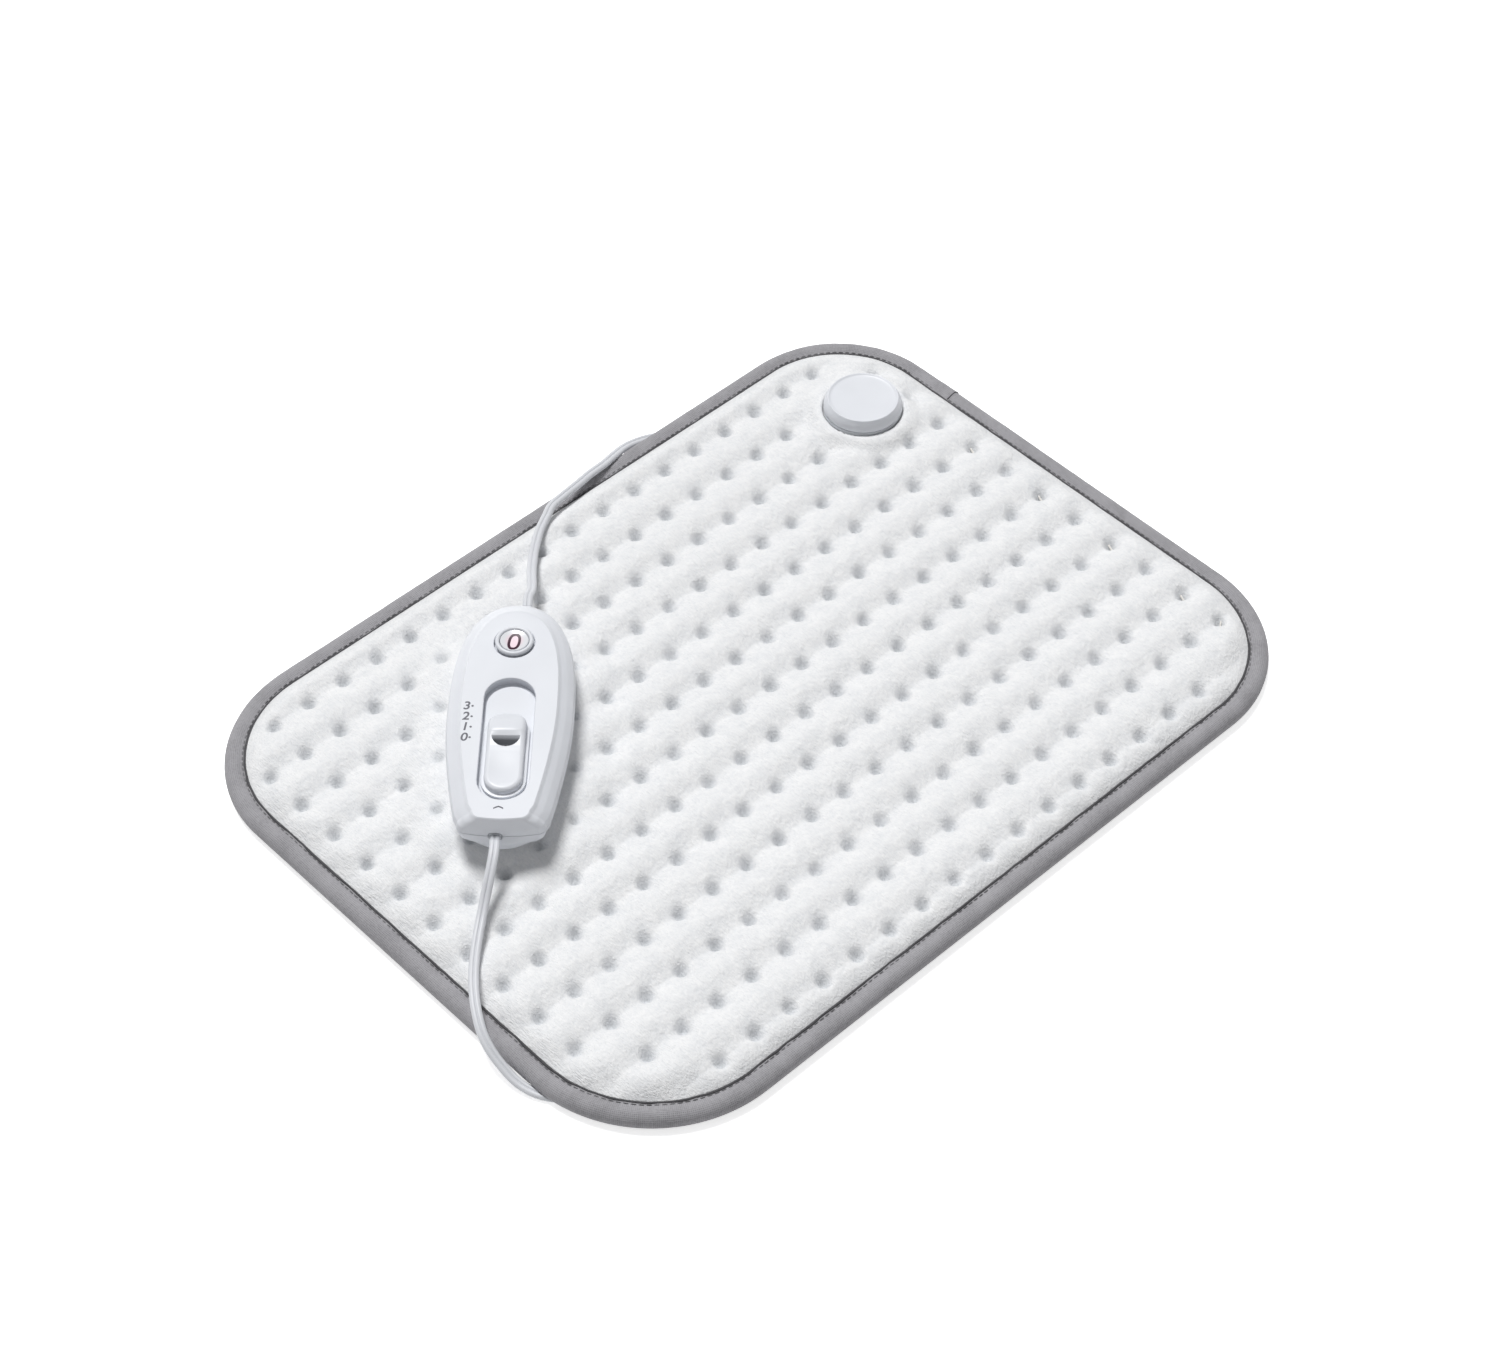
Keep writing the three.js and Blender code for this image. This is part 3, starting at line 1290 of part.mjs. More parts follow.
heatingPad.add(controllerFrame);
const controllerPieces = [
  ['controller_top_shell', topShell(), material.housing],
  ['controller_bottom_shell', bottomShell(), material.housing],
  ['slider_cap', sliderCap(), material.housing],
  ['slider_carriage', sliderCarriage(), material.moulding],
  ['contact_wiper', contactWiper(), material.brass],
  ['contact_track', contactTrack(), material.brass],
  ['detent_rail', detentRail(), material.moulding],
  ['detent_spring', detentSpring(), material.steel],
  ['display_bezel', displayBezel(), material.housing],
  ['display_lens', displayLens(), material.lens],
  ['light_module', lightModule(), material.black],
  ['circuit_board', circuitBoard(), material.board],
  ['fuse', fuse(), material.lens],
  ['capacitor', capacitor(), material.black],
  ['power_triac', triac(), material.black],
  ['dropper_resistor', resistor(), material.fleece],
  ['mains_gland', gland(mainsOutletX, endFaceY, -1), material.moulding],
  ['pad_gland', gland(padOutletX, noseY, 1), material.moulding],
  ['mains_lead_inner', innerLead(mainsOutletX, endFaceY, -1), material.cord],
  ['pad_lead_inner', innerLead(padOutletX, noseY, 1), material.cord],
  ['mains_cord_clamp', cordClamp(mainsOutletX, endFaceY, -1), material.moulding],
  ['pad_cord_clamp', cordClamp(padOutletX, noseY, 1), material.moulding],
];
for (const [name, body, finish] of controllerPieces) addPiece(controllerFrame, name, body, finish);
bossPlaces().forEach((place, i) => {
  addPiece(controllerFrame, `shell_screw_${i + 1}`, shellScrew(place), material.steel);
});

const coil = coilPoints();
const coilSection = scaledSection(coilSectionShares, cordWidth, cordThickness);
addPiece(heatingPad, 'mains_cord', flatCord(mainsCurve), material.cord);
addPiece(heatingPad, 'mains_cord_coil', loft(sectionRings(coil, coilSection)), material.cord);
addPiece(heatingPad, 'mains_cord_tail', flatCord(tailCurve), material.cord);
addPiece(heatingPad, 'pad_cord', flatCord(padCurve), material.cord);
addPiece(heatingPad, 'plug_body', plugBody(), material.cord);
addPiece(heatingPad, 'plug_pin_1', plugPin(-1), material.brass);
addPiece(heatingPad, 'plug_pin_2', plugPin(1), material.brass);

const coilLength = new THREE.CatmullRomCurve3(coil).getLength();
const mainsLength = mainsCurve.getLength() + coilLength + tailCurve.getLength();
console.log(`least gap in the coil ${leastCoilGap(coil).toFixed(2)} mm`);
console.log(`mains cord ${mainsLength.toFixed(0)} mm, pad cord ${padCurve.getLength().toFixed(0)} mm`);

export default heatingPad;
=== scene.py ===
"""Looks of the heating pad: quilted plush, bound edge, corner connector, cords and slide controller."""
import math

import bpy
import numpy as np
from mathutils import Matrix, Vector


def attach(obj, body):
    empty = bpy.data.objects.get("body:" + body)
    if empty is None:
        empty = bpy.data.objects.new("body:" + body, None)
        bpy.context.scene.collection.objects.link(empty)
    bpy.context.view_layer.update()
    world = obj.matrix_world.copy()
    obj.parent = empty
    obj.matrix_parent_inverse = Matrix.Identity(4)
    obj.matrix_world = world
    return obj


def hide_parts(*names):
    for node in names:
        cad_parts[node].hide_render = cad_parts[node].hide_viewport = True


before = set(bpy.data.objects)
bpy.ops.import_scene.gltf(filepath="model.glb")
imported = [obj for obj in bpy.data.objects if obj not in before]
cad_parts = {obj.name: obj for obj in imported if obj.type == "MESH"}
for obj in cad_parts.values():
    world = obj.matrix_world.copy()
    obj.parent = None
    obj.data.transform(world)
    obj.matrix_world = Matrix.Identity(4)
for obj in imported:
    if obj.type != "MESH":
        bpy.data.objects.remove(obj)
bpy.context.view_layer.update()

# The part's sizes are in millimetres, and turned into metres where a mesh is made or a cord declared.
# The camera's place and the distances in materials are in metres.
MM = 0.001
CLEARANCE = 0.3

# Pad, binding and quilt, as in the solids
PAD_LENGTH, PAD_WIDTH = 440.0, 330.0
# The bound corners of the real pad are pulled in unevenly: far, left, near and right, seen in the photo
CORNER_RADII = {(1, 1): 59.0, (-1, 1): 68.0, (-1, -1): 72.0, (1, -1): 67.0}
BINDING_WIDTH, SHEET_INSET, BOND_INSET, BOND_GAP = 10.0, 5.0, 8.0, 4.0
COLUMNS, ROWS = 20, 13
COLUMN_PITCH, ROW_PITCH = 20.5, 23.4
CREST_HEIGHT, DIMPLE_DEPTH, SADDLE_DEPTH, WAIST = 15.0, 3.4, 2.7, 0.5
SCALLOP, PIT_DEPTH, PIT_POWER = 0.8, 4.1, 2.4
PIT_SIDE, PIT_FAR, PIT_NEAR = 2.9, 3.7, 2.2
PILE_X, PILE_Y = 0.688, 0.7257
GRID_SHIFT_X, GRID_SHIFT_Y = -3.4, -4.4
FLEECE_HEIGHT, FLEECE_INSET, FLEECE_STEP, FLEECE_COVER = 8.15, 19.0, 2.5, 0.7
FLEECE_SINK, FLEECE_SINK_RADIUS = 1.6, 4.4
QUILT_EDGE_HEIGHT, QUILT_ROLL, QUILT_HIDDEN_HEIGHT = 8.0, 12.0, 7.0
BACK_LAYER_HEIGHT = 7.6

# Controller, as in the solids
CONTROLLER_X, CONTROLLER_Y, CONTROLLER_HEADING = -119.9, 35.6, 45.7
SHELL_HALF_WIDTH, SHELL_SIDE_DRAW, SHELL_HEIGHT = 29.2, 8.9, 24.2
PARTING_HEIGHT = 0.558 * SHELL_HEIGHT
WIDEST_Y, NOSE_LENGTH, TAIL_LENGTH = 18.0, 71.5, 65.5
SHELL_WALL, END_CORNER, END_BULGE = 2.2, 4.5, 1.4
SIDE_POWER, NOSE_POWERS = 1.65, (2 / 2.2, 2 / 3)
TOP_RINGS = np.array([[0, 1, 1, 1, 1], [0.33, 0.975, 0.985, 1, 1], [0.63, 0.885, 0.94, 0.998, 0.8],
                      [0.83, 0.787, 0.885, 0.996, 0.6], [0.97, 0.755, 0.85, 0.993, 0.5],
                      [1, 0.742, 0.838, 0.988, 0.4]])
BOTTOM_RINGS = np.array([[0, 0.66, 0.8, 0.84, 3], [0.09, 0.76, 0.88, 0.89, 3.4],
                         [0.33, 0.88, 0.95, 0.955, 3], [0.66, 0.97, 0.99, 0.99, 2], [1, 1, 1, 1, 1]])
SLOT_HALF_WIDTH, SLOT_LENGTH, TRAY_DEPTH, TRAY_WALL = 11.7, 72.5, 3.2, 1.8
SLIDER_TRAVEL, SLIDER_HALF_WIDTH, SLIDER_LENGTH, SLIDER_RISE = 19.0, 8.7, 44.8, 4.0
ISLAND_GAP, ISLAND_SIDE, MOAT_DEPTH, GROOVE_DEPTH = 2.6, 1.1, 1.1, 1.5
FOOT_OVERHANG, FOOT_FRONT, FOOT_THICKNESS, SLOT_END_GAP = 1.6, 2.4, 1.2, 2.4
STEM_WIDTH, STEM_LENGTH, STEM_SLOT_LENGTH = 3.6, 5.0, 24.6
DISPLAY_Y, DISPLAY_RADIUS, DISPLAY_LENS_RADIUS, DISPLAY_PROUD = 58.5, 8.9, 6.6, 2.0
LENS_DROP, LENS_DISH, LENS_FOOT = 0.35, 0.62, 23.9
DISPLAY_TOP = SHELL_HEIGHT + DISPLAY_PROUD
LENS_TOP = DISPLAY_TOP - LENS_DROP
TRAY_HEIGHT = SHELL_HEIGHT - TRAY_DEPTH
ROOF_HEIGHT = SHELL_HEIGHT - SHELL_WALL
SLOT_BACK = -SLOT_LENGTH / 2
SLIDER_BACK = SLOT_BACK + SLOT_END_GAP + FOOT_OVERHANG
SLIDER_FRONT = SLIDER_BACK + SLIDER_LENGTH
STEM_Y = (SLIDER_BACK + SLIDER_FRONT) / 2
BOSS_PLACES = ((-10, -25), (10, -25), (-14, 43), (14, 43))
BOSS_RADIUS, SCREW_RADIUS, SCREW_HEAD_RADIUS, SCREW_TOP = 3.6, 1.6, 2.8, 19.2
TOP_BOSS_FOOT, BOTTOM_BOSS_TOP, OUTLET_DEPTH = 10.3, 8.1, 6.6
GLAND_HALF_WIDTH, GLAND_RISE, GLAND_ROUND_SHARE = 3.0, 2.1, 0.9

# Stored plug and the hump of the pad over it
PLUG_X, PLUG_TAIL_Y, PLUG_THICKNESS, PLUG_MIDDLE = -2.2, -8.0, 13.7, 7.0
PLUG_HALF_WIDTH, PLUG_FRONT, PIN_LENGTH, PIN_OFFSET = 17.65, 46.0, 19.0, 9.3
HUMP_MARGIN, HUMP_TAIL_ROOM, HUMP_FADE, HUMP_DIMPLE_SHARE = 3.4, 19.0, 30.0, 0.4
HUMP_RISE = 3.09
CONTROLLER_BOTTOM = CREST_HEIGHT + HUMP_RISE + CLEARANCE

# Connector in the pad's corner
CONNECTOR_X, CONNECTOR_Y, CONNECTOR_RADIUS, BASE_RADIUS = 169.0, 98.0, 19.9, 21.0
COLLAR_BOTTOM = CREST_HEIGHT + CLEARANCE
COLLAR_TOP = COLLAR_BOTTOM + 2.3
LEG_X, LEG_SPACING, LEG_RADIUS, LEG_SEAT = CONNECTOR_X + 8, 11.0, 3.5, 1.1
COUPLING_FRONT, COUPLING_BACK, COUPLING_MIDDLE = -2.3, -32.3, 3.8
COUPLING_HALF_WIDTH, COUPLING_RISE = 7.4, 2.0

# Cords
CORD_WIDTH, CORD_THICKNESS, SKIN_WIDTH = 5.4, 2.9, 4.8
COIL_X, COIL_Y, COIL_INNER, COIL_PITCH, COIL_RISE, COIL_TURNS = -110.0, -60.0, 18.8, 6.0, 3.4, 4.25
COIL_LEVEL = 0.15 + CORD_THICKNESS / 2
COIL_OUTER = COIL_INNER + COIL_PITCH * COIL_TURNS
MAINS_OUTLET_X, PAD_OUTLET_X = -2.5, 3.5
END_FACE_Y = WIDEST_Y - TAIL_LENGTH - END_BULGE
NOSE_Y = WIDEST_Y + NOSE_LENGTH
MAINS_ROUTE = [
    [-162, -4, 31.6], [-170.6, -10.6, 27.5], [-176.9, -14.8, 22.6], [-183.9, -20, 19],
    [-194.2, -28.7, 17.2], [-203.4, -37.8, 16.8], [-210.6, -46.3, 16.4], [-216.7, -55.2, 15],
    [-221.4, -64.3, 12.6], [-223.2, -71.3, 9.9], [-223.6, -79.5, 6.4], [-223.1, -88, 3.4],
    [-220.8, -96.2, 2], [-217.1, -102.6, 1.6], [-211.6, -108.4, 1.6], [-204.5, -112.6, 1.6],
    [-195.5, -114.6, 1.6], [-184, -113.8, 1.6], [-170, -111, 1.6], [-155, -107.8, 1.6],
    [-140, -105.4, 1.6], [-128, -104.5, 1.6], [-120, -104.3, 1.6]]
TAIL_ROUTE = [
    [-119, -15.6, 5], [-125.3, -14, 5], [-133, -8.7, 5], [-138.2, -0.7, 5],
    [-140, 8.3, 5], [-138.2, 17.3, 5.4], [-133.2, 25, 6.4]]
PAD_ROUTE = [
    [-49.6, 102.6, 31.9], [-42.7, 108.4, 28.2], [-30.9, 122.3, 22.6], [-19.5, 134, 18.7],
    [-6.9, 144.4, 17.1], [1.4, 149.2, 16.8], [8.6, 153.3, 16.5], [18.4, 155.5, 15.6],
    [29, 157.7, 14.2], [40.1, 160.2, 12.7], [50.5, 161.9, 11.2], [60, 164.6, 9.3],
    [69, 167.3, 6.6], [77.5, 168.3, 4], [85.5, 167.2, 2.3], [92.5, 163.8, 1.6],
    [98.5, 158.5, 1.6], [103, 151, 1.6], [106, 141, 1.6], [108.5, 131, 1.6],
    [111, 121.5, 1.6], [114.3, 112.5, 1.7], [117, 107.4, 2], [122.4, 102, 2.7], [129.3, 98.8, 3.4]]


# Objects and camera

def add_object(name, data):
    """A new object in the scene with that camera, lamp, curve or mesh."""
    piece = bpy.data.objects.new(name, data)
    bpy.context.scene.collection.objects.link(piece)
    return piece


def make_camera():
    data = bpy.data.cameras.new("camera")
    data.sensor_width, data.lens = 36, 79.966
    data.clip_start, data.clip_end = 0.05, 20
    camera = add_object("camera", data)
    azimuth, elevation = math.radians(43.4709), math.radians(47.7841)
    right = Vector((math.cos(azimuth), -math.sin(azimuth), 0))
    up = Vector((math.sin(azimuth) * math.sin(elevation), math.cos(azimuth) * math.sin(elevation),
                 math.cos(elevation)))
    place = Matrix((right, up, right.cross(up))).transposed().to_4x4()
    place.translation = (-0.71954, -0.75645, 1.17388)
    camera.matrix_world = place
    bpy.context.scene.camera = camera


# Materials

def shader_input(material, socket):
    return material.node_tree.nodes["Principled BSDF"].inputs[socket]


def new_material(name, colour, roughness, **sockets):
    """A material with a plain shader; other sockets are given by name, with _ for a space."""
    material = bpy.data.materials.new(name)
    material.use_nodes = True
    for socket, value in {"Base_Color": (*colour, 1), "Roughness": roughness, **sockets}.items():
        shader_input(material, socket.replace("_", " ")).default_value = value
    return material


def add_node(material, kind, settings=None, **inputs):
    """A node with its settings, such as an operation, and with input values by name."""
    node = material.node_tree.nodes.new(kind)
    for setting, value in (settings or {}).items():
        setattr(node, setting, value)
    for socket, value in inputs.items():
        node.inputs[socket.replace("_", " ")].default_value = value
    return node


def connect(material, source, target):
    material.node_tree.links.new(source, target)


def coordinates(material, stretch=(1, 1, 1), kind="Object", turn=0.0):
    source = add_node(material, "ShaderNodeTexCoord")
    mapping = add_node(material, "ShaderNodeMapping", Scale=stretch, Rotation=(0, 0, turn))
    connect(material, source.outputs[kind], mapping.inputs["Vector"])
    return mapping.outputs["Vector"]


def attribute(material, name):
    return add_node(material, "ShaderNodeAttribute", {"attribute_name": name}).outputs["Fac"]


def noise(material, scale, detail=2.0, roughness=0.5, vector=None):
    node = add_node(material, "ShaderNodeTexNoise", Scale=scale, Detail=detail, Roughness=roughness)
    connect(material, vector or coordinates(material), node.inputs["Vector"])
    return node.outputs["Fac"]


def tint(material, factor, *stops):
    """Base colour by a factor; each stop is a place on the ramp and its colour."""
    ramp = add_node(material, "ShaderNodeValToRGB")
    elements = ramp.color_ramp.elements
    while len(elements) < len(stops):
        elements.new(1.0)
    for element, (place, colour) in zip(elements, stops):
        element.position = place
        element.color = (*colour, 1)
    connect(material, factor, ramp.inputs["Fac"])
    connect(material, ramp.outputs["Color"], shader_input(material, "Base Color"))


def bump(material, height, distance, strength):
    node = add_node(material, "ShaderNodeBump", Strength=strength, Distance=distance)
    connect(material, height, node.inputs["Height"])
    connect(material, node.outputs["Normal"], shader_input(material, "Normal"))


def calculate(material, operation, *values):
    """Output of a math node; each value is a number or another node's output."""
    node = add_node(material, "ShaderNodeMath", {"operation": operation})
    for socket, value in zip(node.inputs, values):
        if isinstance(value, (int, float)):
            socket.default_value = value
        else:
            connect(material, value, socket)
    return node.outputs["Value"]


def weighted(material, *terms):
    """Sum of node outputs, each times its weight."""
    total, *others = [calculate(material, "MULTIPLY", *term) for term in terms]
    for other in others:
        total = calculate(material, "ADD", total, other)
    return total


def plush_material():
    """Short pile: fine streaks in tufts, with shade between the tufts, and painted shade that greys the pits.
    """
    material = new_material("plush", (0.9, 0.905, 0.915), 0.95, Sheen_Weight=0.3, Sheen_Roughness=0.5)
    fibres = noise(material, 1500, 3, 0.6, coordinates(material, (1, 0.22, 1), turn=0.76))
    tufts = noise(material, 480, 3, 0.6)
    clumps = noise(material, 130)
    fine = weighted(material, (fibres, 0.9), (tufts, 0.7))
    bump(material, weighted(material, (fine, 1.0), (clumps, 0.7)), 0.0012, 0.6)
    # Painted shade: each pit's share, from the mesh attribute, darkens the plush towards grey where shade
    # falls in the pits.
    shade = weighted(material, (fine, 0.45), (clumps, 0.3), (attribute(material, "pit_shade"), -0.36))
    tint(material, shade, (0.0, (0.50, 0.52, 0.54)), (0.38, (0.80, 0.814, 0.835)),
         (0.60, (0.925, 0.928, 0.935)))
    return material


def weave_material(name, low, high, threads_per_metre, roughness=0.85):
    """Woven fabric on a UV map in metres: warp and weft as two crossed waves."""
    material = new_material(name, high, roughness, Sheen_Weight=0.15)
    crossed = []
    for turn in (0.0, math.pi / 2):
        wave = add_node(material, "ShaderNodeTexWave", Scale=threads_per_metre / math.pi, Distortion=0.6,
                        Detail=1.0)
        connect(material, coordinates(material, kind="UV", turn=turn), wave.inputs["Vector"])
        crossed.append(wave.outputs["Fac"])
    weave = calculate(material, "MAXIMUM", *crossed)
    drift, fleck = noise(material, 90, 3, 0.6), noise(material, 900, 2, 0.6)
    shade = weighted(material, (drift, 0.4), (fleck, 0.4), (weave, 0.3))
    tint(material, shade, (0.38, low), (0.72, high))
    bump(material, weave, 0.00018, 0.6)
    return material


def moulded_material(name, colour, roughness, grain=0.00002, **sockets):
    """Moulded plastic: fine spark grain and a slight drift of gloss and colour."""
    material = new_material(name, colour, roughness, **sockets)
    drift = noise(material, 40)
    tint(material, drift, (0.35, tuple(0.965 * channel for channel in colour)), (0.65, colour))
    spread = add_node(material, "ShaderNodeMapRange", To_Min=roughness - 0.04, To_Max=roughness + 0.05)
    connect(material, drift, spread.inputs["Value"])
    connect(material, spread.outputs["Result"], shader_input(material, "Roughness"))
    bump(material, noise(material, 5200), grain, 0.5)
    return material


def thumb_material(colour):
    """The housing's plastic with painted shade: near-black in the recess in front of the thumb ridge, where
    the hollow lies in shadow.
    """
    material = moulded_material("thumb", colour, 0.36)
    base = shader_input(material, "Base Color")
    # The near-black colour is painted shade, mixed in by the recess attribute.
    mix = add_node(material, "ShaderNodeMixRGB", Color2=(0.055, 0.062, 0.075, 1))
    connect(material, attribute(material, "recess"), mix.inputs["Fac"])
    connect(material, base.links[0].from_socket, mix.inputs["Color1"])
    connect(material, mix.outputs["Color"], base)
    return material


def metal_material(name, colour, roughness):
    material = new_material(name, colour, roughness, Metallic=1.0)
    scratches = noise(material, 3000, 3, 0.6, coordinates(material, (1, 1, 0.1)))
    bump(material, scratches, 0.00002, 0.4)
    tint(material, scratches, (0.3, tuple(0.85 * channel for channel in colour)), (0.7, colour))
    return material


def display_material():
    """Milky lens with a pink glow behind the digit, fading towards its rim."""
    material = new_material("display_lens", (0.80, 0.80, 0.83), 0.22, Coat_Weight=0.3)
    centre = from_controller(0.0, DISPLAY_Y, 0.0)[0] * MM
    distance = add_node(material, "ShaderNodeVectorMath", {"operation": "DISTANCE"})
    distance.inputs[1].default_value = (centre[0], centre[1], 0)
    connect(material, coordinates(material, (1, 1, 0)), distance.inputs[0])
    reach = calculate(material, "DIVIDE", distance.outputs["Value"], DISPLAY_LENS_RADIUS * MM)
    reach = weighted(material, (reach, 1.0), (noise(material, 900), 0.06))
    tint(material, reach, (0.2, (0.93, 0.62, 0.71)), (0.78, (0.77, 0.78, 0.81)))
    return material


# Meshes

SHARP_ANGLE = math.radians(38)


def points_of(x, y, z):
    """Points from three coordinates, each a number or one value for each point."""
    return np.column_stack(np.broadcast_arrays(x, y, z))


def circle(steps):
    """Cosines and sines of even steps round a full turn."""
    angles = np.arange(steps) * 2 * math.pi / steps
    return np.cos(angles), np.sin(angles)


def superellipse(half_width, half_height, power, steps):
    """Outline between an ellipse, with power 2, and a box, with a high power."""
    c, s = circle(steps)
    return (half_width * np.sign(c) * np.abs(c) ** (2 / power),
            half_height * np.sign(s) * np.abs(s) ** (2 / power))


def make_mesh(name, vertices, faces, material, uv=None, sharp=SHARP_ANGLE):
    """A smooth mesh object from points in millimetres; uv holds a point in metres for each vertex."""
    mesh = bpy.data.meshes.new(name)
    mesh.from_pydata((np.asarray(vertices, float) * MM).tolist(), [], [list(face) for face in faces])
    mesh.materials.append(material)
    if uv is not None:
        corners = np.empty(len(mesh.loops), np.int32)
        mesh.loops.foreach_get("vertex_index", corners)
        layer = mesh.uv_layers.new(name="UVMap")
        layer.data.foreach_set("uv", np.asarray(uv, float)[corners].ravel())
    mesh.polygons.foreach_set("use_smooth", [True] * len(mesh.polygons))
    if sharp:
        mesh.set_sharp_from_angle(angle=sharp)
    return add_object(name, mesh)


def ring_faces(rings, count, looped=False, first=0):
    """Faces between rings of that many points; first is the number of the first point."""
    faces = []
    for ring in range(rings if looped else rings - 1):
        start, after = first + ring * count, first + (ring + 1) % rings * count
        for i in range(count):
            j = (i + 1) % count
            faces.append((start + i, start + j, after + j, after + i))
    return faces


def grid_faces(number):
    """Faces of a grid, from the numbers of its points."""
    return np.stack((number[:-1, :-1], number[:-1, 1:], number[1:, 1:], number[1:, :-1]), -1)


def loft(name, rings, material, uv=None, looped=False, sharp=SHARP_ANGLE):
    """Joins rings of equal count, closed at both ends with flat faces."""
    rings = np.asarray(rings, float)
    count = rings.shape[1]
    faces = ring_faces(len(rings), count, looped)
    if not looped:
        last = (len(rings) - 1) * count
        faces += [tuple(range(count - 1, -1, -1)), tuple(range(last, last + count))]
    return make_mesh(name, rings.reshape(-1, 3), faces, material, uv, sharp)


def lathe(name, profile, material, x=0.0, y=0.0, steps=96, looped=False):
    """A turned piece; the profile holds radii and heights, from below up its outside."""
    c, s = circle(steps)
    return loft(name, [points_of(x + r * c, y + r * s, z) for r, z in profile], material, looped=looped)


def vertex_points(piece):
    points = np.empty(len(piece.data.vertices) * 3)
    piece.data.vertices.foreach_get("co", points)
    return points.reshape(-1, 3) / MM


def add_attribute(piece, name, values):
    layer = piece.data.attributes.new(name, "FLOAT", "POINT")
    layer.data.foreach_set("value", values.astype(np.float32))


def evaluated_mesh(piece):
    bpy.context.view_layer.update()
    return bpy.data.meshes.new_from_object(piece.evaluated_get(bpy.context.evaluated_depsgraph_get()))


def boolean(piece, tool, operation="DIFFERENCE"):
    """Cuts or joins with a tool piece, which is used up."""
    modifier = piece.modifiers.new("boolean", "BOOLEAN")
    modifier.object = tool
    modifier.operation = operation
    modifier.solver = "MANIFOLD"
    result = evaluated_mesh(piece)
    piece.modifiers.clear()
    piece.data = result
    bpy.data.objects.remove(tool)


def smooth(piece):
    """Smooth shading in which wide flat faces stay flat."""
    piece.data.polygons.foreach_set("use_smooth", [True] * len(piece.data.polygons))
    piece.data.set_sharp_from_angle(angle=math.radians(26))
    modifier = piece.modifiers.new("even_normals", "WEIGHTED_NORMAL")
    modifier.keep_sharp = True
    modifier.weight = 90


def finish_piece(piece, *nodes, slot, body="root"):
    """Rides a piece on its body, in place of CAD nodes; the slot argument is not used."""
    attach(piece, body)
    if nodes:
        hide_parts(*nodes)
    return piece


def finish_on_controller(piece, *nodes, slot, body="root"):
    """Moves a piece from the controller's own frame to where the controller lies, and finishes it."""
    placed = from_controller(*vertex_points(piece).T) * MM
    piece.data.vertices.foreach_set("co", placed.ravel())
    piece.data.update()
    return finish_piece(piece, *nodes, slot=slot, body=body)


def from_controller(x, y, z):
    turn = math.radians(CONTROLLER_HEADING - 90)
    return points_of(CONTROLLER_X + x * math.cos(turn) - y * math.sin(turn),
                     CONTROLLER_Y + x * math.sin(turn) + y * math.cos(turn), z + CONTROLLER_BOTTOM)


def to_controller(x, y):
    turn = math.radians(CONTROLLER_HEADING - 90)
    dx, dy = x - CONTROLLER_X, y - CONTROLLER_Y
    return dx * math.cos(turn) + dy * math.sin(turn), dy * math.cos(turn) - dx * math.sin(turn)


def from_connector(x, y):
    return np.hypot(x - CONNECTOR_X, y - CONNECTOR_Y)


def smoothstep(value, low, high):
    share = np.clip((value - low) / (high - low), 0, 1)
    return share * share * (3 - 2 * share)


def wander(shape, cells, seed):
    """Smooth seeded noise between -1 and 1 on a grid of that shape."""
    random = np.random.default_rng(seed)
    coarse = random.uniform(-1, 1, (cells[0] + 3, cells[1] + 3))
    rows = np.linspace(0, cells[0], shape[0])
    columns = np.linspace(0, cells[1], shape[1])
    i, j = rows.astype(int), columns.astype(int)
    u, v = smoothstep(rows - i, 0, 1)[:, None], smoothstep(columns - j, 0, 1)[None, :]
    near = coarse[np.ix_(i, j)] * (1 - v) + coarse[np.ix_(i, j + 1)] * v
    far = coarse[np.ix_(i + 1, j)] * (1 - v) + coarse[np.ix_(i + 1, j + 1)] * v
    return near * (1 - u) + far * u


def lengths_along(points):
    return np.concatenate(([0], np.cumsum(np.linalg.norm(np.diff(points, axis=0), axis=1))))


# Pad

def inside_pad(x, y):
    """How far a place lies inside the pad's outline."""
    far = np.where(x > 0, CORNER_RADII[1, 1], CORNER_RADII[-1, 1])
    near = np.where(x > 0, CORNER_RADII[1, -1], CORNER_RADII[-1, -1])
    radius = np.where(y > 0, far, near)
    dx = np.abs(x) - (PAD_LENGTH / 2 - radius)
    dy = np.abs(y) - (PAD_WIDTH / 2 - radius)
    outside = np.hypot(np.maximum(dx, 0), np.maximum(dy, 0))
    return radius - outside - np.minimum(np.maximum(dx, dy), 0)


def hump_share(x, y):
    """How much of the hump's rise a place has: 1 over the stored plug, 0 away from it."""
    local_x, local_y = to_controller(x, y)
    half = PLUG_HALF_WIDTH + HUMP_MARGIN
    back, front = PLUG_TAIL_Y - HUMP_TAIL_ROOM, PLUG_FRONT + PIN_LENGTH + HUMP_MARGIN
    across = np.maximum(np.abs(local_x - PLUG_X) - half - CLEARANCE, 0)
    along = np.maximum(np.maximum(back - CLEARANCE - local_y, local_y - front - CLEARANCE), 0)
    return 1 - smoothstep(np.hypot(across, along), COLUMN_PITCH / 4, HUMP_FADE)


def quilt_places(x, y):
    """The bonded place nearest to each point, and whether it is one that the binding leaves free."""
    column_at = np.clip(np.round((x - GRID_SHIFT_X) / COLUMN_PITCH - 0.5), -COLUMNS / 2, COLUMNS / 2 - 1)
    row_at = np.clip(np.round((y - GRID_SHIFT_Y) / ROW_PITCH), -(ROWS - 1) / 2, (ROWS - 1) / 2)
    pit_x = (column_at + 0.5) * COLUMN_PITCH + GRID_SHIFT_X
    pit_y = row_at * ROW_PITCH + GRID_SHIFT_Y
    bonded = inside_pad(pit_x, pit_y) > BINDING_WIDTH + BOND_INSET
    return pit_x, pit_y, bonded & (from_connector(pit_x, pit_y) > CONNECTOR_RADIUS + BOND_GAP)


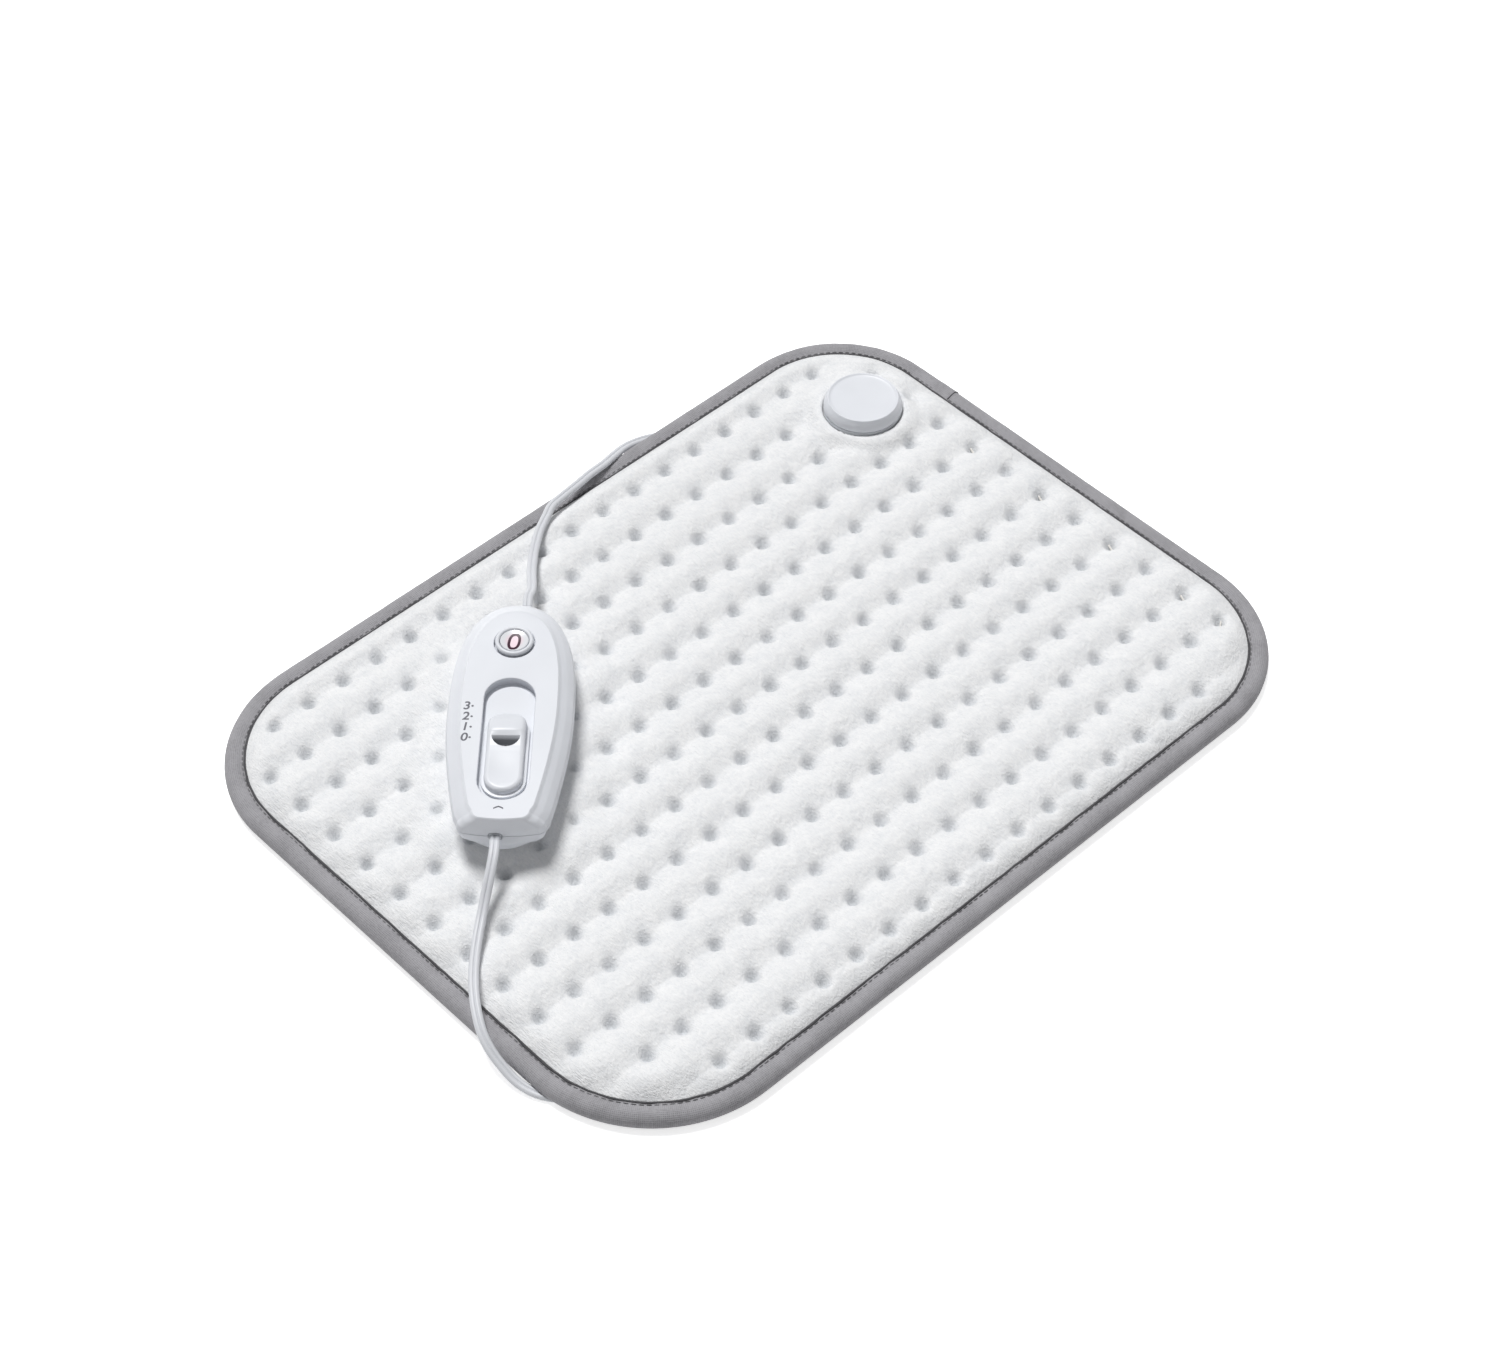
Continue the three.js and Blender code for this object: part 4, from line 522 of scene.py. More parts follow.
def pit_share(x, y):
    """How far each point lies in a pit, 0 to 1; the pile leans, so a pit is steep at its near side only."""
    pit_x, pit_y, bonded = quilt_places(x, y)
    along = (x - pit_x) * PILE_X + (y - pit_y) * PILE_Y
    across = (x - pit_x) * PILE_Y - (y - pit_y) * PILE_X
    from_pit = np.hypot(across / PIT_SIDE, along / np.where(along > 0, PIT_FAR, PIT_NEAR))
    return np.where(bonded, np.exp(-from_pit ** PIT_POWER), 0)


def quilt_depth(x, y):
    """Depth below the crest: soft ridges along X, with a bonded pit at each place between them."""
    pit_x, pit_y, _ = quilt_places(x, y)
    column = 0.5 + 0.5 * np.cos(2 * math.pi * (x - pit_x) / COLUMN_PITCH)
    scallop = SCALLOP * (1 - column)
    from_crease = y - pit_y - scallop
    reach = ROW_PITCH / 2 - scallop * np.where(from_crease > 0, 1, -1)
    share = np.clip(1 - np.abs(from_crease) / reach, 0, 1)
    valley = 0.6 * (0.5 - 0.5 * np.cos(math.pi * share)) + 0.4 * share ** 2
    depth = valley * (SADDLE_DEPTH + (DIMPLE_DEPTH - SADDLE_DEPTH) * column ** 2)
    return depth + WAIST * column ** 3 * (1 - share) + PIT_DEPTH * pit_share(x, y)


def quilt_height(x, y):
    share = hump_share(x, y)
    depth = quilt_depth(x, y) * (1 - (1 - HUMP_DIMPLE_SHARE) * share)
    inset = inside_pad(x, y) - BINDING_WIDTH
    roll = np.sin(np.clip(inset / QUILT_ROLL, 0, 1) * math.pi / 2)
    top = CREST_HEIGHT + HUMP_RISE * share - depth
    height = QUILT_EDGE_HEIGHT + (top - QUILT_EDGE_HEIGHT) * roll
    hidden_rise = (QUILT_EDGE_HEIGHT - QUILT_HIDDEN_HEIGHT) * smoothstep(inset, -0.7, 0)
    return np.where(inset < 0, QUILT_HIDDEN_HEIGHT + hidden_rise, height)


def grid_sheet(name, height_of, step, least_inset, material, flip=False):
    """A sheet over the pad's outline whose height is a function of place, open where that isn't a number."""
    x, y = np.meshgrid(np.linspace(-PAD_LENGTH / 2, PAD_LENGTH / 2, int(PAD_LENGTH / step) + 1),
                       np.linspace(-PAD_WIDTH / 2, PAD_WIDTH / 2, int(PAD_WIDTH / step) + 1))
    height = height_of(x, y)
    kept = (inside_pad(x, y) > least_inset) & np.isfinite(height)
    number = np.full(x.shape, -1)
    number[kept] = np.arange(kept.sum())
    faces = grid_faces(number)[grid_faces(kept).all(-1)]
    if flip:
        faces = faces[:, ::-1]
    points = points_of(x[kept], y[kept], height[kept])
    return make_mesh(name, points, faces, material, uv=points[:, :2] * MM, sharp=None)


def cord_points(x, y, routes, least_inset, lowest, highest):
    """Heights of the cord points over the pad between two levels, with each place's distance from them."""
    for point in np.vstack(routes):
        if lowest <= point[2] <= highest and inside_pad(point[0], point[1]) >= least_inset:
            yield point[2], np.hypot(x - point[0], y - point[1])


def below_cords(height, x, y, routes):
    """Presses the cover down where a cord lies on it."""
    gap, flat_margin, swell, swell_power = 0.25, 0.6, 0.35, 1.7
    for level, distance in cord_points(x, y, routes, 4, 9, math.inf):
        beside = np.maximum(distance - CORD_WIDTH / 2 - flat_margin, 0)
        height = np.minimum(height, level - CORD_THICKNESS / 2 - gap + swell * beside ** swell_power)
    return height


def round_connector(height, x, y):
    """Flattens the plush under the connector and lets it rise round its edge."""
    lip_rise, lip_start, lip_width, lip_fade = 1.7, 0.9, 2.5, 11
    seat_margin, seat_rise = 0.2, 0.1
    reach = from_connector(x, y) - CONNECTOR_RADIUS
    lip = smoothstep(reach, 0, lip_start) * (1 - smoothstep(reach, lip_width, lip_fade))
    raised = np.maximum(height, height + (CREST_HEIGHT + lip_rise - height) * lip)
    return np.where(reach < seat_margin, np.minimum(height, CREST_HEIGHT + seat_rise), raised)


def make_front_cover(material, routes):
    """Quilted plush with fine lumps in its pile and a slight puff between the pits."""
    lump_rise, tuft_rise, puff_rise, rim_fade = 0.12, 0.08, 0.3, 5

    def height_of(x, y):
        inset = inside_pad(x, y) - BINDING_WIDTH
        pile = lump_rise * wander(x.shape, (150, 200), 3) + tuft_rise * wander(x.shape, (290, 390), 4)
        puff = puff_rise * wander(x.shape, (26, 34), 5) * (1 - pit_share(x, y))
        height = quilt_height(x, y) + (pile + puff) * smoothstep(inset, 0, rim_fade)
        return below_cords(round_connector(height, x, y), x, y, routes)

    cover = grid_sheet("quilted_cover", height_of, 0.8, SHEET_INSET, material)
    x, y, _ = vertex_points(cover).T
    # Painted shade for the plush: how far each vertex lies in a pit.
    add_attribute(cover, "pit_shade", pit_share(x, y))
    finish_piece(cover, "front_cover", slot="plush")


def make_fleece(material):
    """The carrier of the heating wire, bonded down under each pit of the quilt."""
    hump_limit, hole_radius = 0.3, 19

    def height_of(x, y):
        pit_x, pit_y, bonded = quilt_places(x, y)
        at_pit = bonded & (np.hypot(x - pit_x, y - pit_y) < FLEECE_SINK_RADIUS)
        height = np.where(at_pit, FLEECE_HEIGHT - FLEECE_SINK, FLEECE_HEIGHT)
        height = np.minimum(height, quilt_height(x, y) - FLEECE_COVER)
        left_out = (hump_share(x, y) > hump_limit) | (from_connector(x, y) < hole_radius)
        return np.where(left_out, np.nan, height)

    fleece = grid_sheet("fleece_layer", height_of, FLEECE_STEP, FLEECE_INSET, material)
    finish_piece(fleece, "carrier_fleece", slot="fleece")


def over_cords(x, y, routes):
    """Height of the lining over the cords pressed into it, fading out sideways."""
    gap, reach, fade = 0.5, CORD_WIDTH / 2 + 0.4, 3.5
    top = np.zeros(x.shape)
    for level, distance in cord_points(x, y, routes, 2, -math.inf, 4):
        over = level + CORD_THICKNESS / 2 + gap
        top = np.maximum(top, over * (1 - smoothstep(distance, reach, reach + fade)))
    return top


def make_back_cover(material, low_routes):
    """Lining that lies on the ground and leads over the coil, the stored plug and the connector's foot."""
    edge_height, plug_gap, coil_gap, coil_fade = 1.9, 0.7, 0.4, 4
    foot_inner, foot_outer = BASE_RADIUS + 0.2, BASE_RADIUS + 1.4
    coupling_half, coupling_length, coupling_top = 8.6, 35, 6.3

    def height_of(x, y):
        inset = inside_pad(x, y) - BINDING_WIDTH
        from_coil = np.abs(np.hypot(x - COIL_X, y - COIL_Y) - (COIL_INNER + COIL_OUTER) / 2)
        half = (COIL_OUTER - COIL_INNER + CORD_WIDTH) / 2
        coil_top = COIL_LEVEL + COIL_RISE + CORD_THICKNESS / 2 + coil_gap
        local_x, local_y = to_controller(x, y)
        beside = np.abs(local_x - PLUG_X) - PLUG_HALF_WIDTH
        beyond = np.maximum(PLUG_TAIL_Y - 1 - local_y, local_y - PLUG_FRONT - PIN_LENGTH)
        pocket = smoothstep(-np.maximum(beside, beyond), -4, -0.5)
        layers = [edge_height * (1 - smoothstep(inset, -0.3, 1.2)),
                  coil_top * (1 - smoothstep(from_coil, half, half + coil_fade)),
                  (PLUG_THICKNESS + plug_gap) * pocket,
                  BACK_LAYER_HEIGHT * (1 - smoothstep(from_connector(x, y), foot_inner, foot_outer)),
                  over_cords(x, y, low_routes)]
        height = np.max(layers, axis=0)
        coupling = (np.abs(y - CONNECTOR_Y) < coupling_half) & (x > CONNECTOR_X - coupling_length)
        coupling &= x < CONNECTOR_X
        height = np.where(coupling, np.maximum(height, coupling_top), height)
        lying = smoothstep(inset, 0, 8) * (height < 0.2)
        return np.maximum(height + 0.12 * wander(x.shape, (60, 80), 8) * lying, 0.0)

    cover = grid_sheet("back_lining", height_of, 1.5, SHEET_INSET, material,
                       flip=True)
    finish_piece(cover, "back_cover", slot="lining")


def rim_path(inset, step):
    """Points along the pad's outline at an inset, with their outward directions and lengths along."""
    arcs = []
    for x, y in ((1, 1), (-1, 1), (-1, -1), (1, -1)):
        full = CORNER_RADII[x, y]
        arcs.append((np.array([x * (PAD_LENGTH / 2 - full), y * (PAD_WIDTH / 2 - full)]), full - inset))
    points, outward = [], []
    for quarter, (centre, radius) in enumerate(arcs):
        next_centre, next_radius = arcs[(quarter + 1) % 4]
        steps = max(int(radius * math.pi / 2 / step), 4)
        angles = (quarter + np.arange(steps + 1) / steps) * math.pi / 2
        directions = np.column_stack((np.cos(angles), np.sin(angles)))
        points.append(centre + radius * directions[:-1])
        start, stop = centre + radius * directions[-1], next_centre + next_radius * directions[-1]
        straight = max(int(np.linalg.norm(stop - start) / step), 1)
        points.append(start + (stop - start) * np.arange(straight)[:, None] / straight)
        outward += [directions[:-1], np.repeat(directions[-1:], straight, 0)]
    points = np.vstack(points)
    return points, np.vstack(outward), lengths_along(points)


def stray_along(lengths, count, random):
    """Random drift between -1 and 1 along a closed line."""
    drift = np.interp(lengths, np.linspace(0, lengths[-1], count), random.uniform(-1, 1, count))
    drift[-1] = drift[0]
    return drift


TAPE_JOINT = np.array([212.0, 79.0])
TAPE_TOP, SEAM_INSET, SEAM_LEVEL = 9.9, 8.6, 8.12
BINDING_PROFILE = [
    [10.0, 0.3], [9.8, 0.9], [9.4, 1.5], [1.5, 1.5], [1.2, 2.2], [1.2, 6.6], [1.6, 7.3], [9.2, 7.3],
    [9.8, 7.4], [10.05, 7.75], [9.7, 8.1], [8.9, 8.0], [8.3, 8.0], [7.5, 8.35], [6.2, 8.85], [4.6, 9.2],
    [3.2, 9.0], [1.9, 8.35], [0.85, 7.3], [0.2, 5.9], [0.0, 4.6], [0.15, 3.4], [0.7, 2.2],
    [1.5, 1.25], [2.6, 0.6], [4.4, 0.3], [7.4, 0.3]]


def clear_of_cord(points, inward, route):
    """Moves tape points out of a cord's way, upwards or towards the pad, whichever is less."""
    gap, reach, most_inset, highest, most_push = 0.35, 2.2, 16, 14, 4
    half, rise = CORD_WIDTH / 2 + gap, CORD_THICKNESS / 2 + gap
    for centre, tangent in zip(route, np.gradient(route, axis=0)):
        if abs(inside_pad(centre[0], centre[1])) > most_inset or centre[2] > highest:
            continue
        tangent = tangent / np.linalg.norm(tangent)
        side = np.array([tangent[1], -tangent[0]]) / max(np.hypot(tangent[0], tangent[1]), 1e-6)
        offset = points - centre
        across, below = offset[..., :2] @ side, offset[..., 2]
        inside = (np.abs(offset @ tangent) < reach) & (np.abs(across) < half) & (np.abs(below) < rise)
        push = inward @ side
        sideways = np.where(push > 0, half - across, half + across) / np.maximum(np.abs(push), 0.05)
        go_up = inside & (rise - below <= sideways)
        go_in = inside & ~go_up
        points[..., 2] = np.where(go_up, centre[2] + rise, points[..., 2])
        moved = points[..., :2] + inward * np.minimum(sideways, most_push)[..., None]
        points[..., :2] = np.where(go_in[..., None], moved, points[..., :2])


def make_binding(material, routes):
    """Tape folded round the rim, uneven by hand sewing and thicker where its ends overlap."""
    points, outward, lengths = rim_path(0.0, 1.0)
    random = np.random.default_rng(11)
    slow, quick = stray_along(lengths, 120, random), stray_along(lengths, 520, random)
    from_joint = lengths - lengths[np.argmin(np.linalg.norm(points - TAPE_JOINT, axis=1))]
    joint = smoothstep(from_joint, -0.6, 0.6) * (1 - smoothstep(from_joint, 7, 15))
    lift = 0.16 * slow + 0.12 * quick + 0.6 * joint
    sway = 0.8 * (0.12 * slow + 0.1 * quick - 0.4 * joint)
    depth, height = np.array(BINDING_PROFILE).T
    heights = height + smoothstep(height, 5, 8.5) * lift[:, None]
    depths = np.maximum(depth + smoothstep(depth, 0, 4) * sway[:, None], 0)
    places = points[:, None, :] - outward[:, None, :] * depths[..., None]
    rings = np.concatenate((places, np.minimum(heights, TAPE_TOP)[..., None]), -1)
    inward = np.repeat(-outward[:, None, :], rings.shape[1], 1)
    for route in routes:
        clear_of_cord(rings, inward, route)
    along, around = np.meshgrid(lengths, lengths_along(np.array(BINDING_PROFILE)), indexing="ij")
    uv = np.column_stack((along.ravel(), around.ravel())) * MM
    binding = loft("edge_tape", rings, material, uv=uv, looped=True, sharp=None)
    finish_piece(binding, "edge_binding", slot="tape")


def make_fold(material):
    """A thin near-black tube along the tape's inner edge: painted shade for the gap where the tape meets the
    plush.
    """
    level, half_width, half_height, sway, swell = 8.1, 0.62, 0.4, 0.22, 0.12
    points, outward, lengths = rim_path(BINDING_WIDTH - 0.25, 2.0)
    c, s = circle(8)
    rings = []
    for point, away, drift in zip(points, outward, stray_along(lengths, 260, np.random.default_rng(23))):
        x, y = (point + away * sway * drift + c[:, None] * away * (half_width + swell * drift)).T
        rings.append(points_of(x, y, level + half_height * s))
    finish_piece(loft("tape_fold", rings, material, looped=True, sharp=None), slot="tape")


def make_tape_joint(material):
    """A near-black ridge across the tape where its two ends overlap: painted shade for the edge of the
    overlap.
    """
    points, outward, _ = rim_path(0.0, 1.0)
    i = np.argmin(np.linalg.norm(points - TAPE_JOINT, axis=1))
    along = np.array([-outward[i][1], outward[i][0]])
    lifted, half = 0.45, 0.35
    rings = []
    for depth, height in BINDING_PROFILE[11:20]:
        middle = points[i] - outward[i] * depth
        crest = min(height + lifted + half, TAPE_TOP)
        back, front = middle - along * half, middle + along * half
        rings.append([[*back, height], [*middle, crest], [*front, height]])
    finish_piece(loft("tape_joint", rings, material, sharp=None), slot="tape")


def make_stitches(material):
    """One lock-stitch line along the tape's inner side."""
    points, _, lengths = rim_path(SEAM_INSET, 0.8)
    pitch, length, radius, sides = 3.3, 2.4, 0.24, 6
    dipped, flat = (0.35, -0.16), (1, 0.05)
    stations = ((0, *dipped), (0.18, *flat), (0.82, *flat), (1, *dipped))
    c, s = circle(sides)
    rings, faces = [], []
    for centre in np.arange(0, lengths[-1] - pitch, pitch):
        start, stop = [np.array([np.interp(centre + way * length / 2, lengths, points[:, axis])
                                 for axis in range(2)]) for way in (-1, 1)]
        along = (stop - start) / max(np.linalg.norm(stop - start), 1e-6)
        side = np.array([along[1], -along[0]])
        faces += ring_faces(len(stations), sides, first=len(rings) * sides)
        for share, scale, lift in stations:
            x, y = (start + (stop - start) * share + side * c[:, None] * radius * scale).T
            rings.append(points_of(x, y, SEAM_LEVEL + lift + s * radius * scale))
    finish_piece(make_mesh("binding_stitches", np.vstack(rings), faces, material), slot="tape")


# Cords

def resample(points, step):
    """Even points along a smooth curve through the given ones (centripetal Catmull-Rom)."""
    points = np.asarray(points, float)
    points = np.vstack((2 * points[0] - points[1], points, 2 * points[-1] - points[-2]))
    dense = []
    for i in range(1, len(points) - 2):
        p = points[i - 1:i + 3]
        times = np.concatenate(([0], np.cumsum(np.sqrt(np.linalg.norm(np.diff(p, axis=0), axis=1)))))
        t = np.linspace(times[1], times[2], 12, endpoint=False)[:, None]

        def between(first, second, start, stop):
            low, high = times[start], times[stop]
            return (high - t) / (high - low) * first + (t - low) / (high - low) * second

        lines = [between(p[k], p[k + 1], k, k + 1) for k in range(3)]
        bends = [between(lines[k], lines[k + 1], k, k + 2) for k in range(2)]
        dense.append(between(*bends, 1, 2))
    dense = np.vstack(dense + [points[-2:-1]])
    along = lengths_along(dense)
    wanted = np.linspace(0, along[-1], max(int(along[-1] / step), 2) + 1)
    return np.column_stack([np.interp(wanted, along, dense[:, axis]) for axis in range(3)])


def twin_section(steps=10):
    """Section of a flat twin cord: two round cores with a groove between them."""
    core = CORD_THICKNESS / 2
    offset = SKIN_WIDTH / 2 - core
    meeting = math.acos(-offset / core) - 0.12
    right = [[offset + core * math.cos(angle), core * math.sin(angle)]
             for angle in np.linspace(-meeting, meeting, steps)]
    left = [[-x, -z] for x, z in right]
    groove = 0.5 * core
    return np.array([[0, -groove]] + right + [[0, groove]] + left)


def sweep_cord(name, points, material):
    section = twin_section()
    along = np.gradient(points, axis=0)
    along /= np.linalg.norm(along, axis=1)[:, None]
    side = points_of(along[:, 1], -along[:, 0], 0.0)
    side /= np.linalg.norm(side, axis=1)[:, None]
    up = np.cross(along, side)
    rings = [point + section[:, :1] * s + section[:, 1:] * u for point, s, u in zip(points, side, up)]
    return loft(name, rings, material, sharp=None)


def coil_points():
    """Spirals in on the floor, climbs one layer, and spirals out on top."""
    steps = int(2 * COIL_TURNS * 36)
    turn = (2 * np.arange(steps + 1) / steps - 1) * COIL_TURNS
    radius = COIL_INNER + COIL_PITCH * np.abs(turn)
    angle = 2 * math.pi * (turn + COIL_TURNS) - math.pi / 2
    level = COIL_LEVEL + COIL_RISE * smoothstep(turn, -0.25, 0.25)
    return points_of(COIL_X + radius * np.cos(angle), COIL_Y + radius * np.sin(angle), level)


def cord_routes():
    """The mains cord by way of its coil to the stored plug, and the pad cord to the coupling."""
    start = from_controller(MAINS_OUTLET_X, END_FACE_Y - CLEARANCE, PARTING_HEIGHT)
    plug_end = from_controller(PLUG_X, PLUG_TAIL_Y - CLEARANCE, PLUG_MIDDLE - CONTROLLER_BOTTOM)
    beside_coil = COIL_X - CORD_WIDTH - CLEARANCE
    meeting = [beside_coil, COIL_Y - COIL_OUTER, COIL_LEVEL]
    leaving = [beside_coil, COIL_Y + COIL_OUTER, COIL_LEVEL + COIL_RISE]
    way_in = resample(np.vstack((start, MAINS_ROUTE, meeting)), 3.0)
    way_out = resample(np.vstack((leaving, TAIL_ROUTE, plug_end)), 3.0)
    mains = np.vstack((way_in, coil_points(), way_out))
    pad_start = from_controller(PAD_OUTLET_X, NOSE_Y + CLEARANCE, PARTING_HEIGHT)
    pad_end = [CONNECTOR_X + COUPLING_BACK - CLEARANCE, CONNECTOR_Y, COUPLING_MIDDLE]
    return mains, resample(np.vstack((pad_start, PAD_ROUTE, pad_end)), 2.0)


def make_cords(material):
    mains, pad = cord_routes()
    main_cord = sweep_cord("mains_flex", mains, material)
    finish_piece(main_cord, "mains_cord", "mains_cord_coil", "mains_cord_tail", slot="cord")
    pad_lead = sweep_cord("pad_flex", pad, material)
    finish_piece(pad_lead, "pad_cord", slot="cord")
    return mains, pad


# Controller

def shell_outline(half_width, nose, tail, bulge, fine):
    """One outline of the housing, with the corner stations of the solid and more between them."""
    flat = half_width - SHELL_SIDE_DRAW - END_CORNER
    right = [[flat * share, -tail - bulge * (1 - share * share)]
             for share in np.linspace(0, 1, 2 * fine + 1)]
    right += [[flat + END_CORNER * math.sin(angle), -tail + END_CORNER * (1 - math.cos(angle))]
              for angle in np.linspace(0, math.pi / 2, 3 * fine + 1)[1:]]
    right += [[half_width - SHELL_SIDE_DRAW * share ** SIDE_POWER, -tail * share]
              for share in np.linspace(1 - END_CORNER / tail, 0, 5 * fine + 1)[1:-1]]
    right += [[half_width * math.sin(angle) ** NOSE_POWERS[0], nose * math.cos(angle) ** NOSE_POWERS[1]]
              for angle in np.linspace(math.pi / 2, 0, 9 * fine + 1)[:-1]]
    left = [[-x, y] for x, y in right[:0:-1]]
    outline = np.array(right + [[0, nose]] + left)
    outline[:, 1] += WIDEST_Y
    return outline


def smoothed(values):
    """Mean of each three neighbours along the first axis, with the first and last values kept."""
    result = values.copy()
    result[1:-1] = (values[:-2] + values[1:-1] + values[2:]) / 3
    return result


def shell_body(name, shares, bottom, top, wall, material, fine=4, inset_top=(), inset_bottom=()):
    """A closed body of the housing's form, with flat margins at its ends so that they shade flat."""
    stations = np.linspace(0, 1, 37)
    values = smoothed(np.column_stack([np.interp(stations, shares[:, 0], column) for column in shares.T[1:]]))
    rows = [(*value, bottom + station * (top - bottom), 0.0) for value, station in zip(values, stations)]
    rows = [(*rows[0][:5], inset) for inset in inset_bottom] + rows
    rows += [(*rows[-1][:5], inset) for inset in inset_top]
    rings = []
    for width, nose, tail, bulge, level, inset in rows:
        grow = wall + abs(inset)
        outline = shell_outline(SHELL_HALF_WIDTH * width - grow, NOSE_LENGTH * nose - grow,
                                TAIL_LENGTH * tail - grow, END_BULGE * bulge, fine)
        rings.append(points_of(*outline.T, level))
    return loft(name, rings, material)


def stadium_body(name, half_width, back, front, levels, material):
    """A stadium-shaped body; levels hold a height and how far the outline is grown there."""
    angles = np.linspace(0, math.pi, 24)
    rings = []
    for height, grow in levels:
        half = half_width + grow
        x, y = half * np.cos(angles), half * np.sin(angles)
        front_cap = points_of(x, front + grow - half + y, height)
        rings.append(np.vstack((front_cap, points_of(-x, back - grow + half - y, height))))
    return loft(name, rings, material)


def rounded_rectangle(half_width, half_height, corner, steps):
    """Outline of a rectangle round the origin with round corners."""
    arcs = []
    for quarter, (sign_x, sign_y) in enumerate(((1, 1), (-1, 1), (-1, -1), (1, -1))):
        angles = (quarter + np.arange(steps + 1) / steps) * math.pi / 2
        arcs.append(np.column_stack((sign_x * (half_width - corner) + corner * np.cos(angles),
                                     sign_y * (half_height - corner) + corner * np.sin(angles))))
    return np.vstack(arcs)


def rounded_box(name, low, high, material, radius):
    """A box whose upright edges and rims are rounded."""
    low, high = np.array(low), np.array(high)
    middle, half = (low + high) / 2, (high - low) / 2
    rims, rings = ((0, 1), (0.3, 0.3), (1, 0)), []
    for end, inwards in ((low[2], 1), (high[2], -1)):
        for share, inset in rims[::inwards]:
            x, y = rounded_rectangle(*(half[:2] - inset * radius), radius * 1.01, 4).T
            rings.append(points_of(middle[0] + x, middle[1] + y, end + inwards * share * radius))
    return loft(name, rings, material)


def gland_body(name, x, low_y, high_y, grow, material, flare=0.0):
    """The gland's section run along the controller's axis; flare widens or narrows its ends."""
    rise = GLAND_RISE + grow
    section = rounded_rectangle(GLAND_HALF_WIDTH + grow, rise, GLAND_ROUND_SHARE * rise, 6)
    stations = [(low_y, 0.0), (high_y, 0.0)]
    if flare:
        stations = [(low_y, flare), (low_y + flare, 0.0), (high_y - flare, 0.0), (high_y, flare)]
    rings = []
    for y, extra in stations[::-1]:
        across, up = (section * (1 + extra / rise)).T
        rings.append(points_of(x + across, y, PARTING_HEIGHT + up))
    return loft(name, rings, material)


def cut_outlets(shell, material):
    """Cuts the two cord outlets into a shell and sets its shading, as its last cut."""
    overrun = 2
    for x, low, high in ((MAINS_OUTLET_X, END_FACE_Y - overrun, END_FACE_Y + OUTLET_DEPTH),
                         (PAD_OUTLET_X, NOSE_Y - OUTLET_DEPTH, NOSE_Y + overrun)):
        boolean(shell, gland_body("outlet", x, low, high, CLEARANCE, material))
    smooth(shell)


def cut_tray(shell, slot_body, material):
    """Cuts the moat round the tray's island, the gap over its near end and the slot for the stem."""
    moat = ("moat", TRAY_HEIGHT - MOAT_DEPTH, TRAY_HEIGHT + 0.4, 0, SLOT_BACK)
    undercut = ("gap", TRAY_HEIGHT - GROOVE_DEPTH, SHELL_HEIGHT - 1.2, 0.6, 6.0)
    for name, floor, roof, grow, back in (moat, undercut):
        groove = slot_body(name, [(floor, grow), (roof, grow)], back)
        island = stadium_body("island", SLOT_HALF_WIDTH - ISLAND_SIDE / 2, SLOT_BACK + 0.5,
                              -SLOT_BACK - ISLAND_GAP, [(floor - 1, 0), (TRAY_HEIGHT + 1, 0)], material)
        island.data.transform(Matrix.Translation((ISLAND_SIDE / 2 * MM, 0, 0)))
        boolean(groove, island)
        boolean(shell, groove)
    half_width, middle = STEM_WIDTH / 2 + CLEARANCE, STEM_Y + SLIDER_TRAVEL / 2
    half_slot, below_tray, above_tray = STEM_SLOT_LENGTH / 2, 15, 23
    boolean(shell, rounded_box("slot", (-half_width, middle - half_slot, below_tray),
                               (half_width, middle + half_slot, above_tray), material, 0.2))


def make_top_shell(material):
    """Upper half of the housing, with the slider's tray and slot, the display's hole and the bosses."""
    bottom, into_roof = PARTING_HEIGHT + CLEARANCE / 2, ROOF_HEIGHT + 0.5
    shell = shell_body("housing_top", TOP_RINGS, bottom, SHELL_HEIGHT, 0.0, material,
                       inset_top=(0.7, 1.6), inset_bottom=(0.5, 0.15))
    boolean(shell, shell_body("cut", TOP_RINGS[[0, 2, 5]], bottom - CLEARANCE, ROOF_HEIGHT, SHELL_WALL,
                              material, 2))

    def slot_body(name, levels, back=SLOT_BACK):
        return stadium_body(name, SLOT_HALF_WIDTH, back, -SLOT_BACK, levels, material)

    boolean(shell, slot_body("tray", [(TRAY_HEIGHT - TRAY_WALL, TRAY_WALL), (into_roof, TRAY_WALL)]), "UNION")
    for x, y in BOSS_PLACES:
        boss = lathe("boss", [(BOSS_RADIUS, TOP_BOSS_FOOT), (BOSS_RADIUS, into_roof)], material, x, y, 32)
        boolean(shell, boss, "UNION")
    boolean(shell, slot_body("recess", [(TRAY_HEIGHT, 0), (SHELL_HEIGHT - 0.45, 0),
                                        (SHELL_HEIGHT - 0.15, 0.12), (SHELL_HEIGHT, 0.4),
                                        (SHELL_HEIGHT + 1, 2)]))
    cut_tray(shell, slot_body, material)
    for x, y in BOSS_PLACES:
        boolean(shell, lathe("bore", [(SCREW_RADIUS, 8), (SCREW_RADIUS, SCREW_TOP)], material, x, y, 32))
    hole_radius = DISPLAY_RADIUS + 2 * CLEARANCE
    boolean(shell, lathe("hole", [(hole_radius, 20), (hole_radius, SHELL_HEIGHT - 0.3),
                                  (hole_radius + 0.35, SHELL_HEIGHT), (hole_radius + 1.1, SHELL_HEIGHT + 1)],
                         material, 0, DISPLAY_Y))
    cut_outlets(shell, material)
    finish_on_controller(shell, "controller_top_shell", slot="housing")


